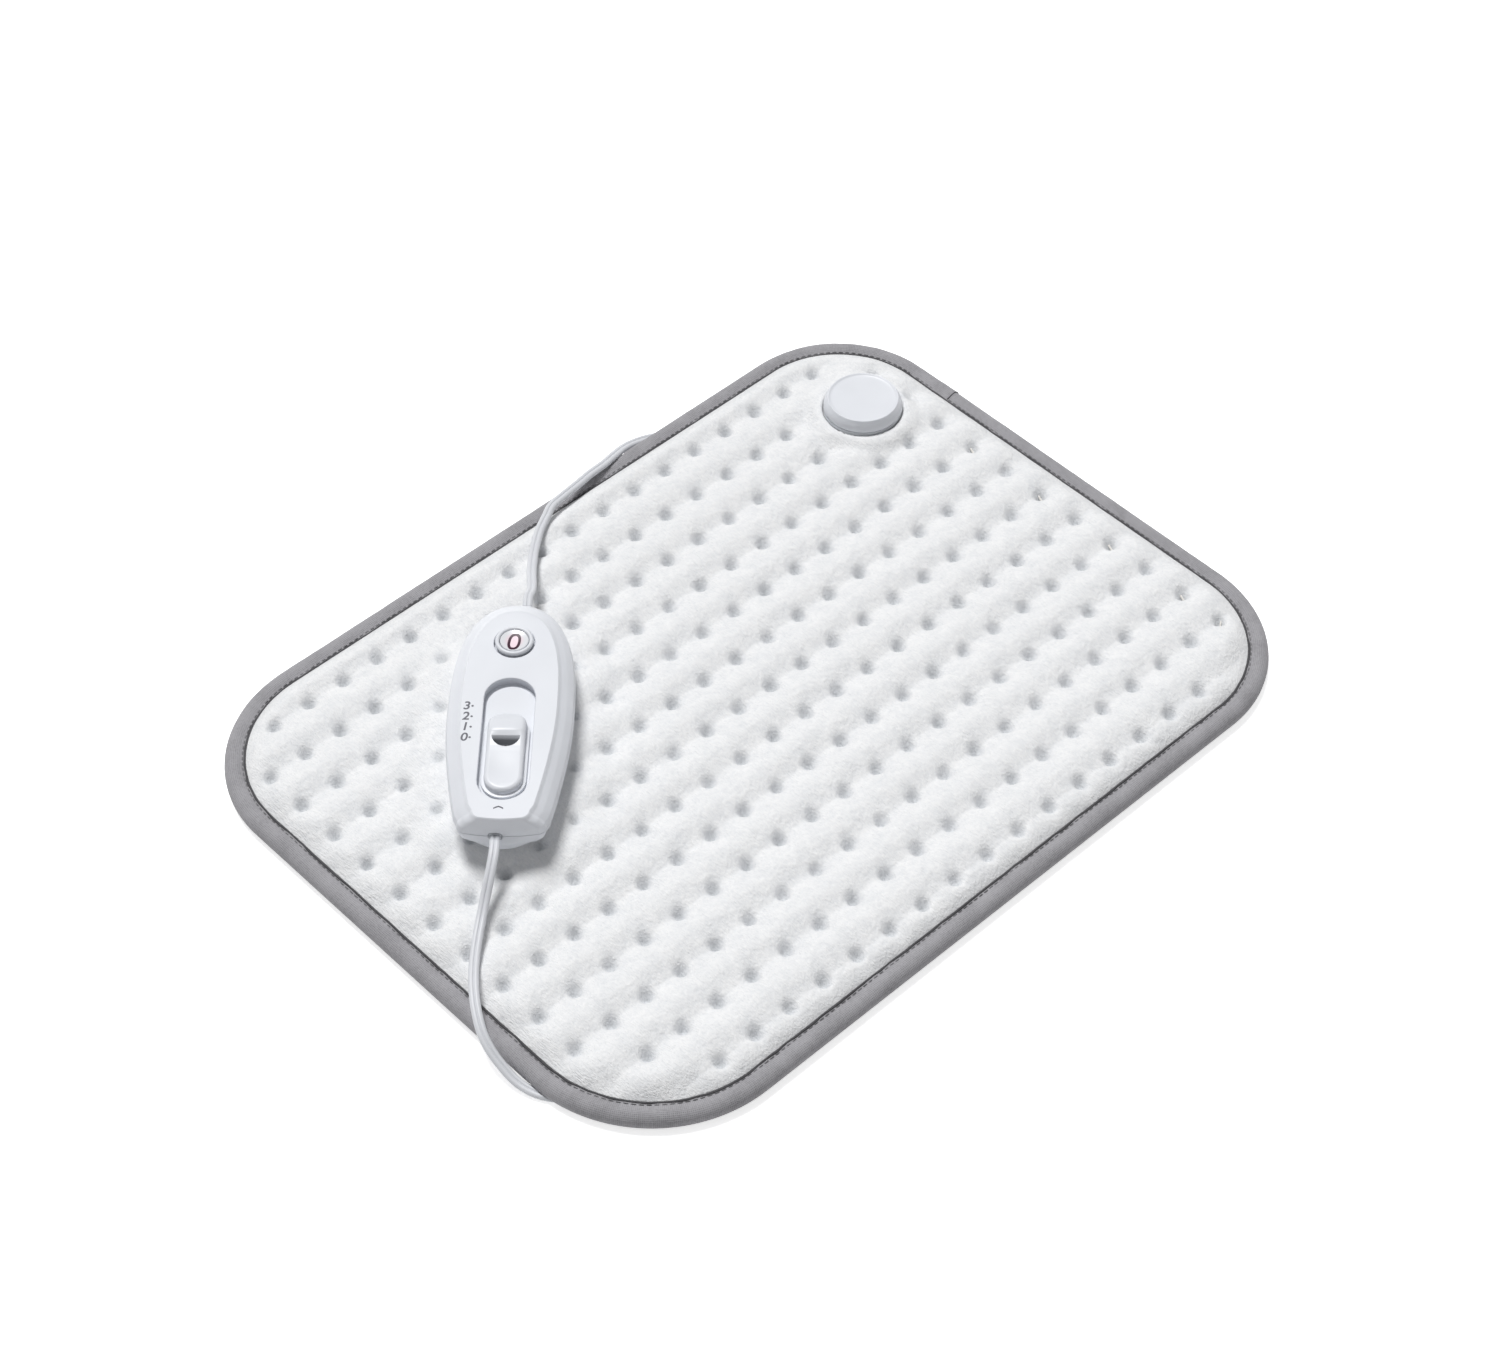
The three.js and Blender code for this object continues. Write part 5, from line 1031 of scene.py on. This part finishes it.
def make_bottom_shell(material):
    """Lower half of the housing, with the bosses that its screws go through."""
    top = PARTING_HEIGHT - CLEARANCE / 2
    shell = shell_body("housing_bottom", BOTTOM_RINGS, 0, top, 0.0, material,
                       inset_top=(0.15, 0.5), inset_bottom=(1.6, 0.7))
    boolean(shell, shell_body("cut", BOTTOM_RINGS[[0, 2, 4]], SHELL_WALL, top + CLEARANCE, SHELL_WALL,
                              material, 2))
    head = SCREW_HEAD_RADIUS
    tools = (("post", [(BOSS_RADIUS, 1), (BOSS_RADIUS, BOTTOM_BOSS_TOP)], "UNION"),
             ("bore", [(SCREW_RADIUS, -2), (SCREW_RADIUS, 9)], "DIFFERENCE"),
             ("sink", [(head + 0.6, -2), (head + 0.3, 0), (head, 0.3), (head, 4)], "DIFFERENCE"))
    for x, y in BOSS_PLACES:
        for name, profile, operation in tools:
            boolean(shell, lathe(name, profile, material, x, y, 32), operation)
    cut_outlets(shell, material)
    finish_on_controller(shell, "controller_bottom_shell", slot="housing")


THUMB_FRONT = SLIDER_FRONT + 3.55
THUMB_ROWS, THUMB_COLUMNS, THUMB_ROLL, SIDE_DROP_SHARE = 320, 96, 2.2, 0.26
THUMB_PROFILE = np.array([
    [-32.25, 0.34], [-31.2, 0.44], [-28, 0.47], [-18, 0.44], [-9, 0.42], [-6, 0.45], [-4, 0.52],
    [-2.2, 0.61], [-0.6, 0.70], [0.4, 0.83], [1.4, 0.95], [2.1, 0.995], [2.9, 1.0], [4.4, 0.955],
    [7.8, 0.80], [11.0, 0.52], [13.6, 0.16], [15.2, -0.16], [16.1, -0.36]])
SCOOP_Y, SCOOP_HALF_WIDTH, SCOOP_REACH, SCOOP_WALL_Y = 0.5, 6.7, 7.0, -0.7
SCOOP_TOP, SCOOP_SLOPE, SCOOP_FLOOR = 27.0, 1.9, 22.5
HOLLOW_DEPTH, HOLLOW_HALF_WIDTH, HOLLOW_LENGTH = 0.45, 7.0, 25


def scoop_share(x, y):
    """How far each point lies in the half-moon recess in front of the thumb ridge."""
    reach = np.hypot(x / SCOOP_HALF_WIDTH, (y - SCOOP_Y) / SCOOP_REACH)
    return (1 - smoothstep(reach, 0.955, 1.0)) * (1 - smoothstep(y, -1.0, SCOOP_WALL_Y))


def thumb_height(x, y):
    """Top of the thumb piece: its side profile, domed across, less the hollow and the recess."""
    share = np.interp(y, *THUMB_PROFILE.T)
    drop = SIDE_DROP_SHARE * np.clip(np.abs(x) / SLIDER_HALF_WIDTH, 0, 1) ** 3
    side = 1 - drop * smoothstep(y, -1.0, 1.5)
    top = SHELL_HEIGHT + SLIDER_RISE * share * side
    along_hollow = np.clip((y - SLIDER_BACK - 1.2) / HOLLOW_LENGTH, 0, 1)
    across_hollow = np.clip(1 - (x / HOLLOW_HALF_WIDTH) ** 2, 0, 1)
    hollow = HOLLOW_DEPTH * across_hollow * np.sin(math.pi * along_hollow) ** 2
    inside = scoop_share(x, y)
    slope = np.maximum(SCOOP_TOP - SCOOP_SLOPE * np.maximum(SCOOP_WALL_Y - y, 0), SCOOP_FLOOR)
    return np.minimum(top - hollow, top * (1 - inside) + slope * inside)


def make_thumb_piece(material):
    """The slider's thumb piece as a fine height-field in a stadium, closed below."""
    spread = (1 - np.cos(np.linspace(0, math.pi, THUMB_ROWS))) / 2
    even = np.linspace(0, 1, THUMB_ROWS)
    y = SLIDER_BACK + (THUMB_FRONT - SLIDER_BACK) * (0.25 * spread + 0.75 * even)[:, None]
    from_cap = np.maximum(np.maximum(SLIDER_BACK - y, y - THUMB_FRONT) + SLIDER_HALF_WIDTH, 0)
    half = np.sqrt(np.maximum(SLIDER_HALF_WIDTH ** 2 - from_cap ** 2, 1e-4))
    x = half * np.sin(np.linspace(-math.pi / 2, math.pi / 2, THUMB_COLUMNS))
    near = np.clip(THUMB_ROLL - SLIDER_HALF_WIDTH + np.hypot(x, from_cap), 0, THUMB_ROLL)
    roll = THUMB_ROLL - np.sqrt(np.maximum(THUMB_ROLL ** 2 - near ** 2, 0))
    bottom = TRAY_HEIGHT + CLEARANCE + 0.6
    top = np.maximum(thumb_height(x, y) - roll * 0.9, bottom + 0.5)
    x, y, top = (values.ravel() for values in np.broadcast_arrays(x, y, top))
    number = np.arange(len(x)).reshape(THUMB_ROWS, THUMB_COLUMNS)
    upper_faces = grid_faces(number).reshape(-1, 4)
    rim = np.concatenate((number[0, :], number[1:, -1], number[-1, -2::-1], number[-2:0:-1, 0]))
    after = np.roll(rim, -1)
    sides = np.stack((after, rim, rim + len(x), after + len(x)), -1)
    faces = np.vstack((upper_faces, upper_faces[:, ::-1] + len(x), sides))
    vertices = np.vstack((points_of(x, y, top), points_of(x, y, bottom)))
    thumb = make_mesh("thumb_piece", vertices, faces, material, sharp=math.radians(50))
    # Painted shade: the recess darkens towards near-black with depth below its top, standing in for the
    # shadow in the hollow.
    depth = np.clip((SCOOP_TOP + 0.6 - top) / (SCOOP_TOP - SCOOP_FLOOR), 0, 1)
    recess_shade = 0.8 * scoop_share(x, y) * smoothstep(depth, 0.25, 0.7)
    add_attribute(thumb, "recess", np.concatenate((recess_shade, np.zeros(len(x)))))
    return finish_on_controller(thumb, slot="housing", body="slider")


def make_slider(material, shaded_cap_material):
    """Thumb piece on a foot in the tray, with the stem that reaches through the slot."""
    thumb = make_thumb_piece(shaded_cap_material)
    foot_bottom = TRAY_HEIGHT + CLEARANCE
    foot = stadium_body("thumb_foot", SLIDER_HALF_WIDTH + FOOT_OVERHANG, SLIDER_BACK - FOOT_OVERHANG,
                        SLIDER_FRONT + FOOT_FRONT,
                        [(foot_bottom, -0.15), (foot_bottom + 0.15, 0), (foot_bottom + 0.85, 0),
                         (foot_bottom + 1.1, -0.12), (foot_bottom + FOOT_THICKNESS, -0.4)], material)
    stem_foot, half_width, half_length = 17.7, STEM_WIDTH / 2, STEM_LENGTH / 2
    stem = rounded_box("thumb_stem", (-half_width, STEM_Y - half_length, stem_foot),
                       (half_width, STEM_Y + half_length, foot_bottom + 0.6), material, 0.2)
    finish_on_controller(foot, slot="housing", body="slider")
    finish_on_controller(stem, slot="housing", body="slider")
    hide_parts("slider_cap")


def make_bezel(material):
    """Round display ring that stands proud of the housing, held by a flange under its roof."""
    flange_bottom, flange_top, flange_radius = 20.3, ROOF_HEIGHT - CLEARANCE, 10.5
    inner, seat_radius, seat = DISPLAY_LENS_RADIUS + CLEARANCE, 5.7, LENS_FOOT - CLEARANCE
    neck, crown = DISPLAY_RADIUS - 0.9, 1.1
    shoulder = DISPLAY_TOP - crown
    profile = [[seat_radius, flange_bottom], [flange_radius, flange_bottom], [flange_radius, flange_top],
               [neck, flange_top], [neck, SHELL_HEIGHT + 0.35], [DISPLAY_RADIUS, SHELL_HEIGHT + 0.6],
               [DISPLAY_RADIUS, shoulder]]
    for angle in np.linspace(0, math.pi, 9)[1:-1]:
        profile.append([(DISPLAY_RADIUS + inner) / 2 + (DISPLAY_RADIUS - inner) / 2 * math.cos(angle),
                        shoulder + crown * math.sin(angle)])
    profile += [[inner, shoulder], [inner, seat], [seat_radius, seat]]
    bezel = lathe("display_ring", profile, material, 0, DISPLAY_Y, looped=True)
    finish_on_controller(bezel, "display_bezel", slot="housing")


def make_lens(material):
    """Lens whose top is dished, with a small bevel at its rim."""
    rim_share, bevel = 0.95, 0.25
    profile = [[0, LENS_FOOT], [DISPLAY_LENS_RADIUS, LENS_FOOT], [DISPLAY_LENS_RADIUS, LENS_TOP - 0.3]]
    for share in (0.985, rim_share, 0.9, 0.8, 0.65, 0.5, 0.35, 0.2, 0.1, 0.0):
        rim_drop = bevel * max(share - rim_share, 0) / (1 - rim_share)
        profile.append([DISPLAY_LENS_RADIUS * share, LENS_TOP - LENS_DISH * (1 - share ** 2) - rim_drop])
    window = lathe("display_window", profile, material, 0, DISPLAY_Y, 72)
    finish_on_controller(window, "display_lens", slot="lens")


def make_digit(dark, glow):
    """The lit 0: a slanted ring on the lens with a bright middle."""
    outer, inner, slant, shift, power = (3.0, 5.1), (1.75, 3.75), 0.10, -0.9, 2.4

    def ring_at(half_sizes, share, above):
        x, y = superellipse(half_sizes[0] * share, half_sizes[1] * share, power, 72)
        x, y = x + slant * y, y + shift
        bowl = LENS_TOP - LENS_DISH + LENS_DISH * (x ** 2 + y ** 2) / DISPLAY_LENS_RADIUS ** 2
        return points_of(x, DISPLAY_Y + y, bowl + above)

    low, high = 0.01, 0.10
    rings = [ring_at(sizes, 1, above)
             for sizes, above in ((outer, low), (outer, high), (inner, high), (inner, low))]
    finish_on_controller(loft("display_digit", rings, dark, looped=True), slot="black")
    shares, under, over = (0.04, 0.5, 0.97), 0.02, 0.06
    rings = [ring_at(inner, share, under) for share in shares]
    rings += [ring_at(inner, share, over) for share in reversed(shares)]
    finish_on_controller(loft("display_glow", rings, glow), slot="lens")


def flat_text(name, body, size, x, y, level, material):
    """A digit lying flat in the controller's frame."""
    curve = bpy.data.curves.new(name, "FONT")
    curve.body = body
    curve.size = size * MM
    curve.align_x = "CENTER"
    curve.align_y = "CENTER"
    curve.extrude = 0.03 * MM
    curve.offset = 0.11 * MM
    curve.shear = 0.12
    curve.resolution_u = 8
    text = add_object(name, curve)
    mesh = evaluated_mesh(text)
    bpy.data.objects.remove(text)
    mesh.transform(Matrix.Translation((x * MM, y * MM, level * MM)))
    mesh.materials.clear()
    mesh.materials.append(material)
    return add_object(name, mesh)


def make_scale(ink):
    """Printed levels beside the slot, read from the cord's end."""
    pitch, size, digit_x, dot_x, dot_radius = 6.3, 6.7, -19.3, -16.6, 0.55
    low, high = SHELL_HEIGHT - 0.01, SHELL_HEIGHT + 0.05
    for number in (3, 2, 1, 0):
        y = pitch * number
        digit = flat_text(f"scale_digit_{number}", str(number), size, digit_x, y, SHELL_HEIGHT + 0.02, ink)
        finish_on_controller(digit, slot="black")
        dot = lathe(f"scale_dot_{number}", [[0, low], [dot_radius, low], [dot_radius, high], [0, high]],
                    ink, dot_x, y, 20)
        finish_on_controller(dot, slot="black")


def make_mark(ink):
    """A small plain chevron below the slot, on the housing's middle line."""
    mark_x, mark_y, half, rise, stroke = -1.0, -41.5, 2.2, 1.1, 0.5
    low, high = SHELL_HEIGHT - 0.05, SHELL_HEIGHT + 0.06
    edges = ((-stroke, low), (stroke, low), (0.7 * stroke, high), (-0.7 * stroke, high))
    rings = [[[half * across + mark_x, rise * up + mark_y + offset, level] for offset, level in edges]
             for across, up in ((1, 0), (0.5, 0.6), (0, 1), (-0.5, 0.6), (-1, 0))]
    finish_on_controller(loft("housing_mark", rings, ink), slot="black")


def make_glands(material):
    """Cord bushes in both outlets, each held by a flange inside the shells."""
    flange_width, flange_grow = 1.5, 1.0
    seats = (("mains_gland", "mains_bush", MAINS_OUTLET_X, END_FACE_Y, -1, 3.9),
             ("pad_gland", "pad_bush", PAD_OUTLET_X, NOSE_Y, 1, 7.5))
    for node, name, x, face, way, depth in seats:
        seat = face - way * depth
        inner = seat - way * flange_width
        bush = gland_body(name, x, min(face, seat), max(face, seat), 0.0, material, flare=-0.35)
        boolean(bush, gland_body("flange", x, min(seat, inner), max(seat, inner), flange_grow, material),
                "UNION")
        smooth(bush)
        finish_on_controller(bush, node, slot="moulding")


# Connector in the pad's corner

def rim_points(radius, level, *steps):
    """Points of a rounded rim; each step is an inset from the radius and a rise from the level."""
    return [[radius - inset, level + rise] for inset, rise in steps]


def make_connector_collar(material):
    """Collar under the cap, with three legs through the pad."""
    profile = [[0, COLLAR_BOTTOM],
               *rim_points(CONNECTOR_RADIUS, COLLAR_BOTTOM, (0.5, 0), (0.15, 0.12), (0, 0.45)),
               *rim_points(CONNECTOR_RADIUS, COLLAR_TOP, (0, -0.35), (0.12, -0.1), (0.4, 0)),
               [0, COLLAR_TOP]]
    collar = lathe("connector_flange", profile, material, CONNECTOR_X, CONNECTOR_Y)
    leg_top = COLLAR_BOTTOM + LEG_SEAT
    leg_profile = [[0, BACK_LAYER_HEIGHT], *rim_points(LEG_RADIUS, BACK_LAYER_HEIGHT, (0.2, 0), (0, 0.2)),
                   [LEG_RADIUS, leg_top], [0, leg_top]]
    for y in (-LEG_SPACING, 0, LEG_SPACING):
        boolean(collar, lathe("leg", leg_profile, material, LEG_X, CONNECTOR_Y + y, 32), "UNION")
    smooth(collar)
    finish_piece(collar, "connector_collar", slot="moulding")


def make_connector_cap(material):
    """Cap with a rounded shoulder that steps down to a dished field in its top."""
    radius, base = CONNECTOR_RADIUS, COLLAR_TOP + CLEARANCE
    top = base + 6.1
    profile = [[0, base], *rim_points(radius, base, (0.35, 0), (0.1, 0.12), (0, 0.4), (0.1, 1.6)),
               *rim_points(radius, top, (0.45, -3.0), (1.1, -1.6), (1.75, -0.6), (1.9, -0.25),
                           (2.05, -0.06), (2.2, 0), (2.6, -0.08), (3.0, -0.42))]
    field_radius, field_drop, field_dish = radius - 3.3, 0.55, 0.35
    for share in (0.97, 0.9, 0.75, 0.5, 0.25, 0.0):
        profile.append([field_radius * share, top - field_drop - field_dish * (1 - share ** 2)])
    cap = lathe("connector_disc", profile, material, CONNECTOR_X, CONNECTOR_Y, 128)
    finish_piece(cap, "connector_cap", slot="housing")


def make_connector_base(material):
    """Round foot under the pad with a rounded rim, a coupling slot and screw wells."""
    bottom, top = 0.4, BACK_LAYER_HEIGHT - CLEARANCE
    profile = [[0, bottom], *rim_points(BASE_RADIUS, bottom, (0.8, 0), (0.3, 0.15), (0, 0.6)),
               *rim_points(BASE_RADIUS, top, (0, -0.4), (0.2, -0.1), (0.5, 0)), [0, top]]
    base = lathe("connector_foot", profile, material, CONNECTOR_X, CONNECTOR_Y)
    slot_half, slot_rise = COUPLING_HALF_WIDTH + CLEARANCE, COUPLING_RISE + CLEARANCE
    slot_end, overrun = CONNECTOR_X + COUPLING_FRONT + CLEARANCE, 2
    slot = rounded_box("slot", (CONNECTOR_X - BASE_RADIUS - overrun, CONNECTOR_Y - slot_half,
                                COUPLING_MIDDLE - slot_rise),
                       (slot_end, CONNECTOR_Y + slot_half, COUPLING_MIDDLE + slot_rise), material, 0.25)
    boolean(base, slot)
    head, shank, head_depth, over = SCREW_HEAD_RADIUS, SCREW_RADIUS, 2.6, top + 1
    well_profile = [[0, -1], [head + 0.6, -1], [head + 0.3, bottom], [head, 0.8], [head, head_depth],
                    [shank, head_depth], [shank, over], [0, over]]
    for y in (-LEG_SPACING, LEG_SPACING):
        boolean(base, lathe("well", well_profile, material, LEG_X, CONNECTOR_Y + y, 32))
    way_profile = [[0, COUPLING_MIDDLE], [2, COUPLING_MIDDLE], [2, over], [0, over]]
    boolean(base, lathe("way", way_profile, material, LEG_X, CONNECTOR_Y, 24))
    smooth(base)
    finish_piece(base, "connector_base", slot="moulding")


def make_coupling(material):
    """Flat coupling plug: a tapered grip in its slot below the disc."""
    half, rise, power = COUPLING_HALF_WIDTH, COUPLING_RISE, 7
    stations = [(0.0, 4.3, 1.75), (0.35, 4.5, 1.95), (2.0, 4.9, rise), (4.0, 5.6, rise), (6.0, 6.6, rise),
                (8.0, 7.25, rise), (10.0, half, rise), (12.0, half, rise), (29.2, half, rise),
                (29.8, half - 0.2, 1.85), (30.0, half - 0.5, 1.7)]
    rings = []
    for along, half_width, half_height in stations[::-1]:
        y, z = superellipse(half_width, half_height, power, 48)
        rings.append(points_of(CONNECTOR_X + COUPLING_BACK + along, CONNECTOR_Y - y, COUPLING_MIDDLE + z))
    plug = loft("coupling_grip", rings, material)
    bore_offset, bore_radius, bore_depth, overrun = 3, 1.1, 6, 2
    front = CONNECTOR_X + COUPLING_FRONT
    y, z = np.array(circle(20)) * bore_radius
    for side in (-1, 1):
        rings = [points_of(x, CONNECTOR_Y + bore_offset * side + y, COUPLING_MIDDLE + z)
                 for x in (front - bore_depth, front + overrun)]
        boolean(plug, loft("bore", rings, material))
    smooth(plug)
    finish_piece(plug, "coupling_plug", slot="moulding")


# Mains plug

def make_plug_body(material):
    """Flat mains plug with a tapered, ribbed strain relief, stored under the controller."""
    half, rise = PLUG_HALF_WIDTH, PLUG_THICKNESS / 2
    stations = [(-8.0, 3.3, 3.3, 2), (-7.7, 3.6, 3.6, 2)]
    rib_start, rib_pitch, rib_radius, rib_taper = -6.6, 2.6, 3.55, 0.16
    for rib in range(6):
        for along, extra in ((0, 0), (0.3, -0.45), (1.1, -0.45), (1.4, 0.1)):
            radius = rib_radius + rib_taper * rib + extra
            stations.append((rib_start + rib * rib_pitch + along, radius, radius, 2))
    stations += [(9.4, 4.6, 4.6, 2), (10.0, 5.2, 5.0, 2.4), (10.4, 7.4, 5.6, 3), (11.2, 9.2, 6.2, 4),
                 (12.4, 11.4, 6.6, 4), (14.5, 14.0, 6.8, 5), (17.5, 16.0, rise, 5), (21.0, 17.2, rise, 5),
                 (24.4, half, rise, 5), (PLUG_FRONT - 1.6, half, rise, 5),
                 (PLUG_FRONT - 0.8, half - 0.3, rise - 0.3, 5),
                 (PLUG_FRONT - 0.2, half - 0.9, rise - 0.9, 5), (PLUG_FRONT, half - 1.6, rise - 1.6, 5)]
    rings = []
    for y, half_width, half_height, power in stations[::-1]:
        x, z = superellipse(half_width, half_height, power, 72)
        rings.append(points_of(PLUG_X + x, y, PLUG_MIDDLE - CONTROLLER_BOTTOM + z))
    body = loft("mains_plug", rings, material)
    for side in (-1, 1):
        boolean(body, lying_pin("bore", side, [(37.7, 2.3), (48, 2.3)], material))
    smooth(body)
    return finish_on_controller(body, "plug_body", slot="cord")


def make_plug_pins(material, sleeve_material):
    """The plug's two pins, each a metal tip in a sleeve."""
    pieces = []
    sleeve_profile = [(38.0, 2.0), (55.6, 2.0), (55.9, 1.9)]
    tip_profile = [(55.0, 1.88), (63.4, 1.88), (64.2, 1.6), (64.8, 1.05), (65.0, 0.5)]
    for number, side in ((1, -1), (2, 1)):
        sleeve = lying_pin(f"plug_pin_{number}_sleeve", side, sleeve_profile, sleeve_material)
        tip = lying_pin(f"plug_pin_{number}_tip", side, tip_profile, material)
        finish_on_controller(sleeve, slot="black")
        finish_on_controller(tip, slot="brass")
        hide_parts(f"plug_pin_{number}")
        pieces += [sleeve, tip]
    return pieces


def lying_pin(name, side, profile, material):
    """A round pin or bore along the controller's axis; the profile holds places and radii."""
    c, s = circle(28)
    rings = [points_of(PLUG_X + side * PIN_OFFSET - radius * c, y,
                       PLUG_MIDDLE - CONTROLLER_BOTTOM + radius * s) for y, radius in profile]
    return loft(name, rings, material)


# Light and floor

def make_floor():
    """White floor that is brighter where it is seen than where it lights the part."""
    material = new_material("floor", (0.93, 0.93, 0.935), 0.9, Emission_Color=(1, 1, 1, 1))
    path = add_node(material, "ShaderNodeLightPath").outputs
    seen = calculate(material, "MAXIMUM", path["Is Camera Ray"], path["Is Glossy Ray"])
    seen = calculate(material, "MAXIMUM", seen, path["Is Transmission Ray"])
    glow = calculate(material, "MULTIPLY", seen, 0.66)
    connect(material, glow, shader_input(material, "Emission Strength"))
    half, level = 4000, -0.4
    corners = [(-half, -half, level), (half, -half, level), (half, half, level), (-half, half, level)]
    make_mesh("floor", corners, [(0, 1, 2, 3)], material, sharp=None)


def make_world(strength):
    """Soft even light; the background itself is seen white."""
    world = bpy.data.worlds.new("studio")
    world.use_nodes = True
    light = world.node_tree.nodes["Background"]
    light.inputs["Color"].default_value = (1, 1, 1, 1)
    light.inputs["Strength"].default_value = strength
    white = add_node(world, "ShaderNodeBackground", Color=(1, 1, 1, 1))
    mix = add_node(world, "ShaderNodeMixShader")
    path = add_node(world, "ShaderNodeLightPath")
    sources = (path.outputs["Is Camera Ray"], light.outputs["Background"], white.outputs["Background"])
    for source, target in zip(sources, mix.inputs):
        connect(world, source, target)
    connect(world, mix.outputs["Shader"], world.node_tree.nodes["World Output"].inputs["Surface"])
    bpy.context.scene.world = world


def make_sun(name, towards, strength, spread):
    data = bpy.data.lights.new(name, "SUN")
    data.energy = strength
    data.angle = math.radians(spread)
    add_object(name, data).rotation_euler = Vector(towards).to_track_quat("Z", "Y").to_euler()


# The scene

make_camera()
bpy.context.scene.view_settings.view_transform = "Standard"

housing_colour = (0.775, 0.795, 0.84)
plush = plush_material()
lining = weave_material("lining", (0.70, 0.71, 0.73), (0.80, 0.81, 0.83), 1400)
fleece = weave_material("fleece", (0.62, 0.61, 0.58), (0.74, 0.73, 0.70), 700, 0.95)
tape = weave_material("tape", (0.225, 0.221, 0.234), (0.385, 0.379, 0.40), 1100)
# Near-black painted shade for the tape's inner edge and for its joint.
tape_fold = weave_material("tape_fold", (0.06, 0.059, 0.064), (0.12, 0.118, 0.126), 1100)
thread = weave_material("thread", (0.17, 0.168, 0.178), (0.25, 0.247, 0.26), 2600)
housing = moulded_material("housing", housing_colour, 0.36)
moulding = moulded_material("moulding", (0.74, 0.765, 0.80), 0.40)
cord_skin = moulded_material("cord_skin", (0.70, 0.715, 0.75), 0.42, 0.00001)
dark_plastic = moulded_material("dark_plastic", (0.03, 0.03, 0.035), 0.45)
ink = moulded_material("ink", (0.135, 0.135, 0.16), 0.6)
brass = metal_material("brass", (0.72, 0.55, 0.25), 0.3)
steel = metal_material("steel", (0.55, 0.56, 0.58), 0.35)
board = moulded_material("board", (0.035, 0.16, 0.075), 0.42, 0.00004)
glass = moulded_material("glass_tube", (0.85, 0.87, 0.88), 0.08, Transmission_Weight=0.8)
ceramic = moulded_material("ceramic", (0.68, 0.62, 0.50), 0.7, 0.00006)
wire_skin = moulded_material("wire_skin", (0.74, 0.72, 0.68), 0.5, 0.00001)
digit_dark = moulded_material("digit_dark", (0.05, 0.01, 0.028), 0.35)
digit_glow = moulded_material("digit_glow", (0.96, 0.78, 0.85), 0.35)

plug_pieces = [make_plug_body(cord_skin), *make_plug_pins(brass, dark_plastic)]
routes = make_cords(cord_skin)
make_front_cover(plush, routes)
make_back_cover(lining, [route[::2] for route in routes])
make_fleece(fleece)
make_binding(tape, routes)
make_fold(tape_fold)
make_tape_joint(tape_fold)
make_stitches(thread)
make_top_shell(housing)
make_bottom_shell(housing)
make_slider(housing, thumb_material(housing_colour))
make_bezel(housing)
make_lens(display_material())
make_digit(digit_dark, digit_glow)
make_scale(ink)
make_mark(ink)
make_glands(moulding)
make_connector_collar(moulding)
make_connector_cap(housing)
make_connector_base(moulding)
make_coupling(moulding)

# Nodes that keep the shape of their solids and only get a finish
carried = {
    wire_skin: ["heating_wire"],
    ceramic: ["thermal_cutout_1", "thermal_cutout_2", "dropper_resistor"],
    steel: ["connector_screw_1", "connector_screw_2", "detent_spring", "shell_screw_1", "shell_screw_2",
            "shell_screw_3", "shell_screw_4"],
    brass: ["contact_pin_1", "contact_pin_2", "contact_wiper", "contact_track"],
    moulding: ["slider_carriage", "detent_rail", "mains_cord_clamp", "pad_cord_clamp"],
    dark_plastic: ["light_module", "capacitor", "power_triac"],
    board: ["circuit_board"],
    glass: ["fuse"],
    cord_skin: ["mains_lead_inner", "pad_lead_inner"],
}
for finish, nodes in carried.items():
    for node in nodes:
        materials = bpy.data.objects[node].data.materials
        materials.clear()
        materials.append(finish)

make_floor()
make_world(0.27)
make_sun("key", (0.16, 0.58, 1.45), 2.6, 20)
